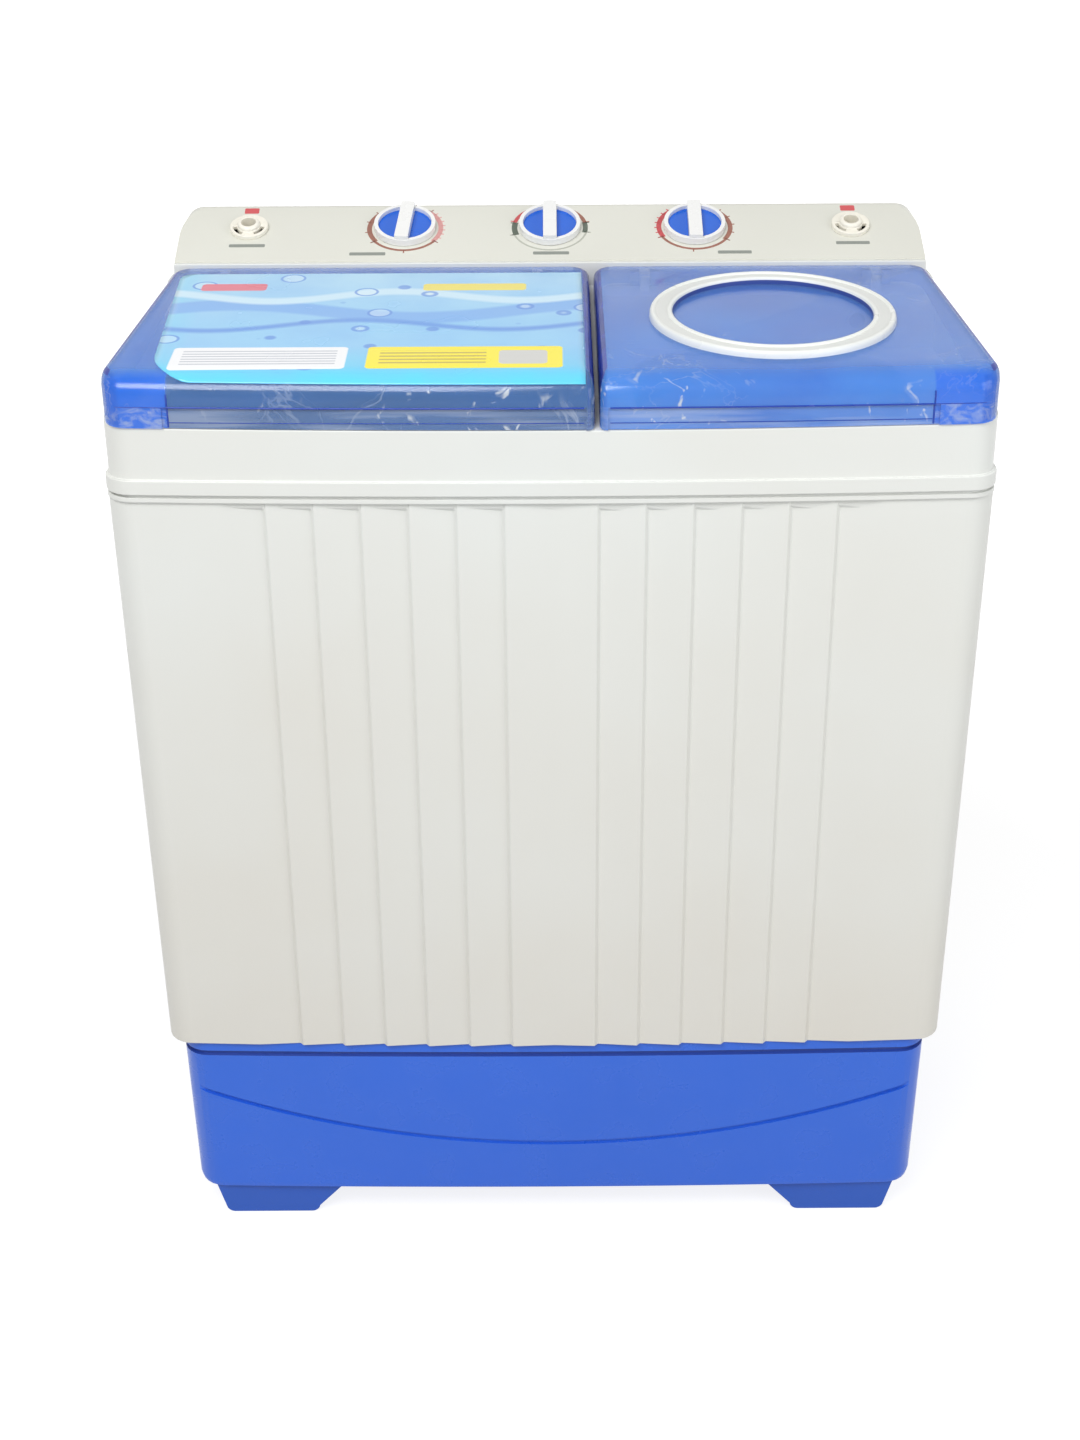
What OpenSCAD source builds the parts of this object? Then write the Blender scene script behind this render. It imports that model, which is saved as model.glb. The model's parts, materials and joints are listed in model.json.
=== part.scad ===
// Twin tub washer: a pleated cabinet on a base tray, a top frame with two lids and a control panel,
// and the tubs, motors, drive, brake and drain inside.
// Millimetres. X runs across the front, Y from front to rear, Z up from the floor.

/* [Body] */
// Width across the lip of the top frame, at the front
body_w = 710; // [700:1:740]
// Depth from the front of the lip to its rear
body_d = 380; // [376:1:410]
// How far the front bows forward in the middle
front_bow = 8; // [4:1:12]
// How far each side draws in from front to rear
side_taper = 16; // [10:1:18]
// Plan radius of the front corners
corner_front = 24; // [20:1:32]
// Plan radius of the rear corners
corner_rear = 20; // [16:1:26]
// Wall of the moulded shells
shell_wall = 3; // [2.5:0.5:4]

/* [Heights] */
// Height of the feet
foot_h = 32; // [20:1:40]
// Height of the base tray, from the feet to the groove round it
base_h = 154; // [150:1:180]
// Height of the strip above the groove round the base
collar_h = 14; // [7:1:16]
// Height of the cabinet shell, up to its rim
cabinet_h = 527; // [515:1:560]
// Height of the plain rim at the top of the cabinet
rim_h = 4; // [3:1:12]
// Shadow gap between the cabinet rim and the frame lip
seam_gap = 3; // [1:0.5:5]
// Height of the frame lip
lip_h = 12; // [10:1:20]
// Front height of the frame, from its lip to the lids
frame_front_h = 53; // [50:1:64]

/* [Cabinet and base] */
// Number of pleat lines on each half of the front
pleat_count = 6; // [3:1:7]
// Spacing of the pleat lines
pleat_pitch = 38; // [30:1:42]
// Depth of a pleat
pleat_depth = 3.5; // [1:0.5:5]
// Width of the step at a pleat line
pleat_step_w = 3; // [1:0.5:6]
// How far the cabinet sides draw in from rim to bottom
cabinet_draft = 4.5; // [0:0.5:6]
// How far the cabinet front stands behind the frame lip
cabinet_inset = 5; // [3:0.5:8]
// How far the base sides stand inside the cabinet bottom
base_inset = 12; // [8:0.5:14]
// How far the base front stands behind the cabinet bottom
base_front_inset = 6; // [5:0.5:9]
// How far the base front bows forward in the middle
base_bow = 5; // [2:0.5:8]
// How far the base sides draw in from groove to bottom
base_draft = 2.5; // [1:0.5:6]
// Depth of the groove round the base
groove_deep = 2; // [1:0.25:2.5]
// Radius of the curved line across the base front
smile_r = 900; // [700:10:1300]
// Height of the curved line's lowest point above the feet
smile_low = 57; // [40:1:70]
// Width of the curved line
smile_w = 4.5; // [2:0.5:6]
// Depth of the curved line
smile_deep = 1.5; // [0.5:0.5:2]

/* [Feet] */
// Width of a foot at the top
foot_w = 120; // [90:1:140]
// Depth of a foot, front to rear
foot_d = 70; // [50:1:90]
// How far the outer side of a foot leans in
foot_lean_out = 7; // [3:1:12]
// How far the inner side of a foot leans in
foot_lean_in = 24; // [10:1:40]
// Distance from the outer top edge of a foot to the base side
foot_side_gap = 17; // [12:1:40]
// Distance from the base front to a foot
foot_front_gap = 9; // [8:1:30]

/* [Lids] */
// Front height of a lid
lid_front_h = 42; // [38:1:46]
// Slope of the lid tops
lid_slope = 3.5; // [2:0.5:5]
// Gap between lid and frame, and between lid and deck at the hinge
lid_gap = 1; // [0.6:0.1:1.5]
// Distance from the wash tub's inner wall to the split between the lids
split_gap = 16; // [10:1:22]
// Width of the gap between the lids
lid_split_gap = 4; // [2:0.5:6]
// How far the lids stand inside the lip at the front corners
lid_inset = 5; // [4:0.5:7]
// How far each lid side draws in from front to rear
lid_taper = 19; // [14:1:22]
// Wall of the lids
lid_wall = 2.5; // [2:0.25:3]
// Radius of the lid edges
lid_edge_r = 6; // [4:0.5:7]
// Height of the rounded front edge of the lids
lid_front_r = 18; // [8:1:20]
// How far the rounded front edge of the lids reaches back
lid_front_in = 23; // [10:1:28]
// Radius of the rear edge around the hinge line
hinge_r = 9; // [8.5:0.5:10]
// Diameter of the hinge pins
hinge_pin_d = 5; // [4:0.25:5.5]
// Thickness of a hinge ear on the frame
ear_t = 8; // [6:0.5:10]
// Width of a hinge ear
ear_w = 8; // [7:0.25:8.5]
// Length of a hinge boss on a lid
boss_l = 8; // [6:0.5:12]
// Distance of a hinge from the end of its lid
hinge_inset = 45; // [30:1:70]
// Width of the plain corner of a lid front beside its finger strip
strip_corner = 48; // [30:1:70]
// Height of the finger strip on a lid front
strip_h = 18; // [10:1:22]
// Depth of the finger strip
strip_deep = 1.5; // [0.5:0.25:1.75]
// Distance from the rear edge of the spin lid to its ring
ring_rear_gap = 36; // [26:1:40]
// Outer diameter of the ring on the spin lid
ring_outer_d = 203; // [180:1:210]
// Inner diameter of the ring on the spin lid
ring_inner_d = 165; // [140:1:172]
// Height of the ring on the spin lid
ring_h = 6; // [2:0.5:7]

/* [Control panel] */
// Distance from the lip side to the panel end
panel_side_gap = 23; // [20:1:35]
// Depth of the panel, front to rear
panel_d = 90; // [88:1:98]
// Slope of the panel face
panel_slope = 22; // [18:1:24]
// Front height of the panel above its seat
panel_front_h = 17; // [12:1:20]
// Step from the rear edge of the lids up to the panel face
panel_step = 2.5; // [1:0.5:6]
// Radius along the top of the panel
panel_crest_r = 12; // [8:1:14]
// Width of the two rounded upper corners of the panel
panel_corner_w = 22; // [12:1:30]
// Height of the two rounded upper corners of the panel
panel_corner_h = 16; // [10:1:18]
// Thickness of the riser between lids and panel
riser_t = 6; // [4:0.5:8]
// Distance between knobs
knob_pitch = 130; // [100:1:140]
// Place of the knobs up the panel face
knob_up = 48; // [44:1:50]
// Diameter of a knob
knob_d = 55; // [46:1:58]
// Width of the rim of a knob
knob_rim = 3.5; // [2:0.5:5]
// Height of the rim of a knob
knob_rim_h = 6; // [3:0.5:8]
// Height of the grip bar of a knob
knob_bar_h = 10; // [9:0.5:20]
// Width of the grip bar of a knob
knob_bar_w = 12; // [10:0.5:16]
// Gap between a knob and the panel face
knob_gap = 0.6; // [0.4:0.1:1]
// Diameter of a knob shaft
knob_shaft_d = 6; // [5:0.25:8]
// Width of a timer body
timer_w = 50; // [40:1:56]
// Depth of a timer body below the panel face
timer_deep = 36; // [25:1:38]
// Distance from the panel end to the axis of an inlet
inlet_end_gap = 62; // [52:1:76]
// Diameter of an inlet flange
inlet_d = 34; // [30:1:40]
// Diameter of the bore of an inlet
inlet_bore_d = 13; // [10:0.5:14]
// Height of the nozzle of an inlet
inlet_nozzle_h = 8; // [5:1:18]
// Diameter of the nozzle of an inlet
inlet_nozzle_d = 20; // [18:0.5:24]

/* [Tubs] */
// Inner width of the wash tub
wash_tub_w = 344; // [320:1:346]
// Room behind the wash tub, from its inner wall to the cabinet rear
service_d = 73; // [71:1:90]
// Distance from the lip side to the wash tub's inner wall
wash_side_gap = 31; // [31:1:35]
// Distance between the inner walls of the two tubs
tub_apart = 43; // [37:1:49]
// Distance from the lip side to the spin tub's inner wall
spin_side_gap = 52; // [44:1:54]
// Distance from the lip front to the wash tub's inner wall
tub_front_gap = 32; // [30:1:36]
// Wall of the tubs
tub_wall = 3; // [2.5:0.5:4]
// Height of the tub floors above the cabinet bottom
tub_floor_up = 134; // [130:1:150]
// Thickness of the tub floors
tub_floor_t = 4; // [3:0.5:6]
// Width of the tub flanges under the deck
tub_flange = 5; // [3:0.5:6]
// Plan radius of the wash tub corners
wash_corner_r = 40; // [30:1:60]
// Plan radius of the spin tub corners
spin_corner_r = 70; // [50:1:90]
// How far the mouths in the deck stand inside the tubs
mouth_inset = 6; // [4:1:12]
// Gap between the pulsator and the nearest tub walls
pulsator_side_gap = 9; // [8:1:30]
// Height of the pulsator vanes
vane_h = 20; // [10:1:30]
// Number of pulsator vanes
vane_count = 6; // [3:1:8]
// Gap between the spin basket and the spin tub's inner walls
basket_side_gap = 11; // [10:1:24]
// Height of the spin basket
basket_h = 385; // [340:1:395]
// Wall of the spin basket
basket_wall = 2.5; // [2:0.25:4]
// Diameter of the basket holes
basket_hole_d = 7; // [4:0.5:10]
// Columns of basket holes
basket_hole_columns = 12; // [6:1:16]
// Rows of basket holes
basket_hole_rows = 6; // [2:1:7]

/* [Drive] */
// Diameter of the pulsator shaft
wash_shaft_d = 14; // [10:1:16]
// Diameter of the spin shaft
spin_shaft_d = 12; // [10:1:16]
// Diameter of the big belt pulley
pulley_d = 150; // [120:1:156]
// Diameter of the motor's belt pulley
motor_pulley_d = 56; // [44:1:60]
// Thickness of the belt
belt_t = 6; // [4:0.5:8]
// Width of the belt and height of the pulleys
belt_w = 14; // [10:1:18]
// Sideways distance from the pulsator axis to the wash motor
motor_off_x = 105; // [100:1:108]
// Distance from the wash tub's rear wall forward to the motor axis
motor_rear_gap = 54; // [50:1:58]
// Diameter of the wash motor
wash_motor_d = 118; // [100:1:120]
// Height of the wash motor
wash_motor_h = 100; // [80:1:110]
// Diameter of the spin motor
spin_motor_d = 130; // [110:1:132]
// Height of the spin motor
spin_motor_h = 100; // [80:1:104]
// Height of the motor dampers
damper_h = 42; // [36:1:50]
// Diameter of the brake drum
drum_d = 100; // [80:1:102]
// Gap between brake shoe and drum with the lid shut
brake_gap = 5; // [4.6:0.1:7]

/* [Clearances] */
// Running clearance of shafts and pins, on the radius
run_gap = 0.05; // [0.02:0.01:0.09]
// Clearance between pieces that are pushed together
push_gap = 0.3; // [0.1:0.05:0.4]

/* [Hidden] */
$fn = 48;

// Colours
shell_white = [0.89, 0.90, 0.88];
panel_grey = [0.86, 0.85, 0.82];
base_blue = [0.26, 0.43, 0.86];
lid_blue = [0.27, 0.45, 0.88, 0.75];
knob_blue = [0.15, 0.40, 0.85];
cream = [0.90, 0.88, 0.78];
steel = [0.72, 0.73, 0.75];
iron = [0.45, 0.46, 0.48];
black = [0.12, 0.12, 0.13];
tub_white = [0.90, 0.92, 0.93];

// Main levels
base_z = foot_h;
collar_z = base_z + base_h;
cab_z = collar_z + collar_h;
rim_z = cab_z + cabinet_h;
lip_z = rim_z + seam_gap;
front_top = lip_z + frame_front_h;
seat_up = 8;
seat_z = lip_z + seat_up;
deck_drop = 10;
deck_top = front_top - deck_drop;
deck_z = deck_top - shell_wall;

// Main places in plan
y_front = -body_d / 2;
y_rear = body_d / 2;
half_w = body_w / 2;
bow_half = half_w - corner_front;
band_inset = 2.5;
frame_wall = 2 * shell_wall;

// Lids and hinge line
riser_gap = 2;
panel_rear_gap = 3;
lid_d = body_d - panel_rear_gap - panel_d - riser_t - riser_gap;
lid_y0 = y_front + 1;
lid_y1 = y_front + lid_d;
hinge_y = lid_y1 - hinge_r;
lid_z0 = front_top + lid_gap;
hinge_z = lid_top_z(hinge_y) - hinge_r / cos(lid_slope);
curb_tan = (hinge_z - hinge_r - lid_z0) / (hinge_y - lid_y0);
shelf_z = hinge_z - hinge_r - lid_gap;
shelf_depth = 14;
shelf_y = hinge_y - shelf_depth;
riser_y0 = lid_y1 + riser_gap;
riser_y1 = riser_y0 + riser_t;
ear_r = ear_w / 2 + 0.5;
notch_side = 0.75;
lid_half = half_w - lid_inset;
lid_split_x = -half_w + wash_side_gap + wash_tub_w + split_gap;
wash_lid_x1 = lid_split_x - lid_split_gap / 2;
spin_lid_x0 = lid_split_x + lid_split_gap / 2;
wash_hinges = [-lid_half + lid_taper + hinge_inset, wash_lid_x1 - hinge_inset];
spin_hinges = [spin_lid_x0 + hinge_inset, lid_half - lid_taper - hinge_inset];
pin_l = ear_t + 2 * (notch_side + boss_l);
corner_mid = 6.5;
corner_out = 18;
corner_back = 18;
lid_blend = 36;
ring_y = lid_y1 - ring_rear_gap - ring_outer_d / 2;

// Control panel
panel_w = body_w - 2 * panel_side_gap;
inlet_x = panel_w / 2 - inlet_end_gap;
face_y = riser_y1;
face_z0 = lid_top_z(lid_y1) + panel_step;
seat_panel_z = face_z0 - panel_front_h;
panel_rear_y = y_rear - panel_rear_gap;
crest_y = panel_rear_y - panel_crest_r;
crest_z = face_z(crest_y, panel_crest_r);
riser_top_z = face_z0 - 1;
panel_open_x = panel_w / 2 - 22;
timer_h0 = -shell_wall;

// Tubs
rear_step = 7;
cab_rear_y = y_rear - rear_step;
wash_tub_d = body_d - rear_step - tub_front_gap - service_d;
spin_tub_w = body_w - wash_side_gap - wash_tub_w - tub_apart - spin_side_gap;
pulsator_d = min(wash_tub_w, wash_tub_d) - 2 * pulsator_side_gap;
basket_d = spin_tub_w - 2 * basket_side_gap;
wash_x = -half_w + wash_side_gap + wash_tub_w / 2;
wash_y = y_front + tub_front_gap + wash_tub_d / 2;
wash_rear = wash_y + wash_tub_d / 2;
spin_x = half_w - spin_side_gap - spin_tub_w / 2;
spin_front_more = 7;
spin_y = y_front + tub_front_gap + spin_front_more + spin_tub_w / 2;
floor_z = cab_z + tub_floor_up + tub_floor_t;
tub_bottom_z = floor_z - tub_floor_t;
mouth_rear_gap = 4;
mouth_y1 = shelf_y - mouth_rear_gap;

// Wash drive
pulsator_gap = 4;
pulsator_z = floor_z + pulsator_gap;
pulsator_t = 10;
hub_h = 26;
bearing_h = 70;
bearing_r = 48;
bearing_flange_r = 68;
bearing_flange_t = 6;
bearing_z = tub_bottom_z - bearing_h;
pulley_gap = 12;
pulley_z = bearing_z - pulley_gap - belt_w;
motor_off_y = wash_tub_d / 2 - motor_rear_gap;
motor_x = wash_x + motor_off_x;
motor_y = wash_y + motor_off_y;
motor_span = norm([motor_off_x, motor_off_y]);
bracket_t = 4;
bracket_drop = 18;
bracket_z = pulley_z - bracket_drop;
motor_shaft_d = 10;
post_w = 14;
bracket_posts = [[52, -50], [-66, 40], [40, 36]];

// Spin drive
damper_spread = 75;
damper_places = [[-damper_spread, -60], [damper_spread, -60], [0, 62]];
damper_r = 17;
damper_hole_r = 5;
base_floor_t = 4;
base_floor_z = base_z + base_floor_t;
plate_t = 4;
plate_w = 190;
plate_d = 170;
plate_z = base_floor_z + damper_h;
spin_motor_z = plate_z + plate_t;
spin_motor_top = spin_motor_z + spin_motor_h;
drum_gap = 8;
drum_h = 24;
drum_z = spin_motor_top + drum_gap;
basket_r = basket_d / 2;
basket_hub_r = 0.24 * basket_r;
basket_lift = 17;
basket_z = floor_z + basket_lift;
shoe_w = 12;
lever_reach = 61;
lever_x = spin_x + drum_d / 2 + brake_gap + shoe_w;
lever_y = spin_y + lever_reach;
lever_t = 8;
lever_up = 4;
pillar_w = 24;

// Drain
valve_off_x = 107;
valve_gap = 5;
valve_x = wash_x + valve_off_x;
valve_y0 = wash_rear + tub_wall + valve_gap;
valve_d = 56;
valve_y = valve_y0 + valve_d / 2;
valve_w = 60;
valve_drop = 80;
valve_z = floor_z - valve_drop;
valve_h = 120;
port_up = 16;
port_z = floor_z + port_up;
rod_up = 24;
rod_top = deck_top + rod_up;
drain_stub_up = 80;
drain_stub_z = base_floor_z + drain_stub_up;
pipe_r = 16;
pipe_wall = 3;
outlet_l = 16;
outlet_r = pipe_r + 1.5;

// Small sizes
seat_gap = 0.02;
curb_w = 12;
base_edge = 5;
base_front_draft = 2;
base_rear_draft = 2;
base_lap = 8;
seat_lap = 4;
groove_h = 3;
knob_base_t = 1.5;
knob_inlay_h = 1;
knob_cap = 3;
knob_shaft_top = knob_bar_h - knob_cap;
knob_shaft_in = 14;
wash_knob_turn = -5;
timer_s = 44;
inlet_flange_t = 4;
inlet_deep = 20;
inlet_band = (inlet_d - inlet_nozzle_d) / 2;
inlet_seat = 0.3 * inlet_band;
inlet_slot_in = inlet_nozzle_d / 2 + 0.1 * inlet_band;
inlet_slot_out = inlet_d / 2 - 0.4 * inlet_band;
inlet_slot_turn = 60;
inlet_turn = 20;
inlet_round = min(0.4 * (inlet_nozzle_d - inlet_bore_d), 0.6 * inlet_nozzle_h);
spout_r = 9;
fill_r = 9.5;
fill_end = 9;
fill_wall = 2;
spout_up = 25.5;
spout_z = deck_top + spout_up;
service_y = wash_rear + tub_wall + tub_flange + 10;
seal_r = 20;
spin_seal_r = 30;
seal_lip_r = 24;
seal_drop = 12;
seal_flange = 10;
seal_flange_t = 5;
seal_up = 3;
seal_crown = 9;
hub_r = 22;
bolt_r = 4;
shaft_in_hub = 16;
shaft_in_basket = 20;
filter_t = 14;
filter_w = 90;
filter_h = 150;
filter_z = floor_z + 225;
cover_h = 380;
cover_w = 66;
cover_deep = 14;
cover_left = 42;
cover_lift = 4;
cover_t = 2.5;
slot_w = 5;
slot_h = 40;
slot_pitch = 10;
slot_low = 12;
slot_drop = 60;
port_r = 11;
rod_r = 2;
corner_ball = 0.5;
branch_r = 12;
branch_up = 5;
outlet_back = 2;
spin_drain_x = spin_x - spin_tub_w / 3;
spin_drain_y = spin_y + spin_tub_w * 0.35;
lever_pin_r = 3;
cable_r = 2.5;
cable_run = 12;
cable_drop = 8;
cable_side = 4;
cable_back = 40;
cable_in = 20;
cable_rise = 60;
cable_straight = 150;
cable_over = 14;
cable_end = 10;
capacitor_off = [105, 84];
capacitor_r = 21;
capacitor_h = 75;
motor_shaft_in = 50;
cord_r = 4;
switch_w = 30;
switch_d = 20;
switch_h = 20;
switch_off = 22;
switch_gap = 2;
switch_x = spin_x + switch_off;
switch_y0 = shelf_y + shell_wall + switch_gap;
switch_y1 = switch_y0 + switch_d;
switch_z = shelf_z - shell_wall - switch_h;

// Rear panel, its screws and the cord gland
back_x = -30;
back_w = 244;
back_z = cab_z + 33;
back_h = 204;
screw_r = 2;
screw_places = [for (x = [-1, 0, 1], z = [6, back_h - 6]) [back_x + x * (back_w / 2 - 6), back_z + z]];
gland_x = half_w - 100;
gland_z = cab_z + 200;
gland_r = 7.5;

function lid_top_z(y) = lid_z0 + lid_front_h + (y - lid_y0) * tan(lid_slope);
function curb_z(y) = lid_z0 - lid_gap + (y - lid_y0) * curb_tan;
function face_z(y, t = 0) = face_z0 + (y - face_y) * tan(panel_slope) - t / cos(panel_slope);
function bow_y(x, yf, bow = front_bow) = yf + bow * (x / bow_half) * (x / bow_half);
function arc(cx, cy, r, a0, a1, n = 6) =
    [for (i = [0:n]) [cx + r * cos(a0 + (a1 - a0) * i / n), cy + r * sin(a0 + (a1 - a0) * i / n)]];
function tail(list) = [for (i = [1:len(list) - 1]) list[i]];
function raised(ring, z) = [for (p = ring) [p[0], p[1], z]];

// Closed plan outline, anticlockwise from the front's left end: front ends fl, fr and rear ends rl, rr
function plan_sides(fl, fr, rl, rr, yf, yr, cl, cr, cb, bow = front_bow) = concat(
    tail(arc(fr - cr, bow_y(fr - cr, yf, bow) + cr, cr, -90, 0)),
    arc(rr - cb, yr - cb, cb, 0, 90),
    arc(rl + cb, yr - cb, cb, 90, 180),
    [for (i = [0:5]) let (a = 180 + 15 * i)
        [fl + cl + cl * cos(a), bow_y(fl + cl, yf, bow) + cl + cl * sin(a)]]);
function plain_front(fl, fr, yf, bow, n = 12) =
    [for (i = [0:n]) let (x = fl + (fr - fl) * i / n) [x, bow_y(x, yf, bow)]];
function plan(fl, fr, rl, rr, yf, yr, cl, cr, cb, bow = front_bow) =
    concat(plain_front(fl + cl, fr - cr, yf, bow), plan_sides(fl, fr, rl, rr, yf, yr, cl, cr, cb, bow));

// Outline of the whole body drawn in by an inset on all sides
function body_plan(inset) = plan(-half_w + inset, half_w - inset,
    -half_w + side_taper + inset, half_w - side_taper - inset,
    y_front + inset, y_rear - inset, corner_front, corner_front, corner_rear);

// Cabinet outline with pleats of a given depth, drawn in at the sides and the front
function pleat_points(half) = let (
    right = concat([for (k = [1:pleat_count]) each
        [[k * pleat_pitch - pleat_step_w / 2, 0], [k * pleat_pitch + pleat_step_w / 2, 1]]],
        [[(pleat_count + 1) * pleat_pitch, 0], [half, 0]]))
    concat([for (i = [len(right) - 1:-1:0]) [-right[i][0], right[i][1]]], [[0, 0.5]], right);
function cabinet_plan(side_in, front_in, rear_in, deep) = let (hf = half_w - side_in,
    hr = hf - side_taper)
    concat([for (p = pleat_points(hf - corner_front)) [p[0], bow_y(p[0], y_front + front_in)
        + p[1] * deep]],
        plan_sides(-hf, hf, -hr, hr, y_front + front_in, cab_rear_y - rear_in,
            corner_front, corner_front, corner_rear));

// Base outline drawn in at the sides, the front and the rear
function base_plan(side_in, front_in, rear_in) = let (hf = half_w - side_in, hr = hf - side_taper)
    plan(-hf, hf, -hr, hr, y_front + front_in, cab_rear_y - rear_in, corner_front, corner_front,
        corner_rear,
        base_bow);

// Lid outline between two front ends and two rear ends, drawn in by an inset and by another at the front
function lid_plan(fl, fr, rl, rr, cl, cr, inset, front_in) = plan(fl + inset, fr - inset, rl + inset,
    rr - inset, lid_y0 + front_in, lid_y1 - inset, max(cl - inset, 0.4), max(cr - inset, 0.4),
    corner_back - inset);

// Edge radius of a lid, which grows towards the front
function lid_edge(y) = lid_edge_r + (lid_front_r - lid_edge_r) * max(0, 1 - (y - lid_y0) / lid_blend);

// Outlines of a lid's rounded edge from its side up to its top, a wall's depth inside the outer skin
function lid_rings(fl, fr, rl, rr, cl, cr, wall) = [for (a = [0, 22.5, 45, 67.5, 90])
    [for (p = lid_plan(fl, fr, rl, rr, cl, cr, wall + (lid_edge_r - wall) * (1 - cos(a)),
        wall + (lid_front_in - wall) * (1 - cos(a))))
        [p[0], p[1], lid_top_z(p[1]) - wall - (lid_edge(p[1]) - wall) * (1 - sin(a))]]];

// Point on the line square to the panel face, a height h above it
function panel_point(x, s, h) = [x, face_y + s * cos(panel_slope) - h * sin(panel_slope),
    face_z0 + s * sin(panel_slope) + h * cos(panel_slope)];

// Smooth line through a list of points
function smooth_route(p, n = 6) = let (last = len(p) - 1) concat([for (i = [0:last - 1], k = [0:n - 1])
    let (t = k / n, a = p[max(i - 1, 0)], b = p[i], c = p[i + 1], d = p[min(i + 2, last)])
    b + t * (c - a) / 2 + t * t * (2 * a - 5 * b + 4 * c - d) / 2 + t * t * t * (3 * b - a - 3 * c + d)
        / 2], [p[last]]);

// Ring of a cable's surface at one point of its line, square to the line
function cable_ring(line, i, r) = let (
    ahead = line[min(i + 1, len(line) - 1)] - line[max(i - 1, 0)],
    t = ahead / norm(ahead),
    side = cross(t, [1, 0, 0]),
    u = side / norm(side),
    w = cross(t, u))
    [for (k = [0:7]) line[i] + r * (cos(45 * k) * u + sin(45 * k) * w)];

// Closed loop round two pulleys a span apart, at radii r1 and r2
function belt_loop(r1, r2, span) = let (a = acos((r1 - r2) / span))
    concat(arc(0, 0, r1, a, 360 - a, 24), arc(span, 0, r2, -a, a, 16));

// Solid of stacked outlines: a closed loop of outlines, or a stack that is capped at both ends
module ring_solid(rings, loop = false) {
    n = len(rings[0]);
    m = len(rings);
    points = [for (r = rings) each r];
    sides = [for (j = [0:m - (loop ? 1 : 2)], i = [0:n - 1])
        let (a = j * n + i, b = j * n + (i + 1) % n, c = ((j + 1) % m) * n + (i + 1) % n, d = ((j + 1)
            % m) * n + i)
        each [[a, d, c], [a, c, b]]];
    caps = loop ? [] : [[for (i = [0:n - 1]) i], [for (i = [n - 1:-1:0]) (m - 1) * n + i]];
    polyhedron(points, concat(sides, caps), convexity = 6);
}

// Side view outline in Y and Z, drawn through from x0 to x1
module side_view(outline, x0, x1) {
    translate([x0, 0, 0]) rotate([90, 0, 90]) linear_extrude(x1 - x0) polygon(outline);
}

module round_rect(w, d, r) {
    square([w - 2 * r, d], center = true);
    square([w, d - 2 * r], center = true);
    for (sx = [-1, 1], sy = [-1, 1]) translate([sx * (w / 2 - r), sy * (d / 2 - r)]) circle(r);
}

module tube(r_out, r_in, h) {
    difference() {
        cylinder(r = r_out, h = h);
        translate([0, 0, -1]) cylinder(r = r_in, h = h + 2);
    }
}

// Places its children on the panel face, x across and s up the slope
module on_panel(x, s) {
    translate([x, face_y, face_z0]) rotate([panel_slope, 0, 0]) translate([0, s, 0]) children();
}

// Rod or pipe along a line of points, with ball corners
module rod_along(points, r) {
    for (i = [0:len(points) - 2]) {
        d = points[i + 1] - points[i];
        l = norm(d);
        translate(points[i]) rotate([0, acos(d[2] / l), atan2(d[1], d[0])]) cylinder(r = r, h = l);
    }
    for (i = [1:1:len(points) - 2]) translate(points[i]) sphere(r + corner_ball);
}

module cabinet() {
    lip_in = shell_wall + push_gap;
    pleat_top = rim_z - rim_h - 1;
    front_low = cabinet_inset + cabinet_draft;
    lip_plan = cabinet_plan(lip_in, lip_in, 1, 0);
    lip_inner = cabinet_plan(lip_in + shell_wall, lip_in + shell_wall, shell_wall + 1, 0);
    rim_plan = cabinet_plan(0, band_inset, 0, 0);
    wall_top = cabinet_plan(shell_wall, cabinet_inset + shell_wall, shell_wall, pleat_depth);
    wall_low = cabinet_plan(cabinet_draft + shell_wall, front_low + shell_wall, shell_wall, pleat_depth);
    color(shell_white) difference() {
        union() {
            ring_solid([
                raised(cabinet_plan(cabinet_draft, front_low, 0, pleat_depth), cab_z),
                raised(cabinet_plan(0, cabinet_inset, 0, pleat_depth), pleat_top),
                raised(rim_plan, rim_z - rim_h),
                raised(rim_plan, rim_z),
                raised(lip_plan, rim_z),
                raised(lip_plan, seat_z),
                raised(lip_inner, seat_z),
                raised(lip_inner, pleat_top - 4),
                raised(wall_top, pleat_top - 10),
                raised(wall_low, cab_z)], loop = true);
            bottom_flange(front_low);
        }
        back_opening();
        gland_hole(gland_r + push_gap);
        screw_holes(screw_r + push_gap);
    }
}

// Flange turned in at the bottom of the cabinet, which sits on the shoulder of the base
module bottom_flange(front_in) {
    translate([0, 0, cab_z]) linear_extrude(shell_wall) difference() {
        polygon(cabinet_plan(cabinet_draft + shell_wall / 2, front_in + shell_wall / 2, shell_wall / 2,
            pleat_depth));
        polygon(cabinet_plan(cabinet_draft + base_inset + seat_lap,
            front_in + base_front_inset + seat_lap,
            base_inset + seat_lap, 0));
    }
}

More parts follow.
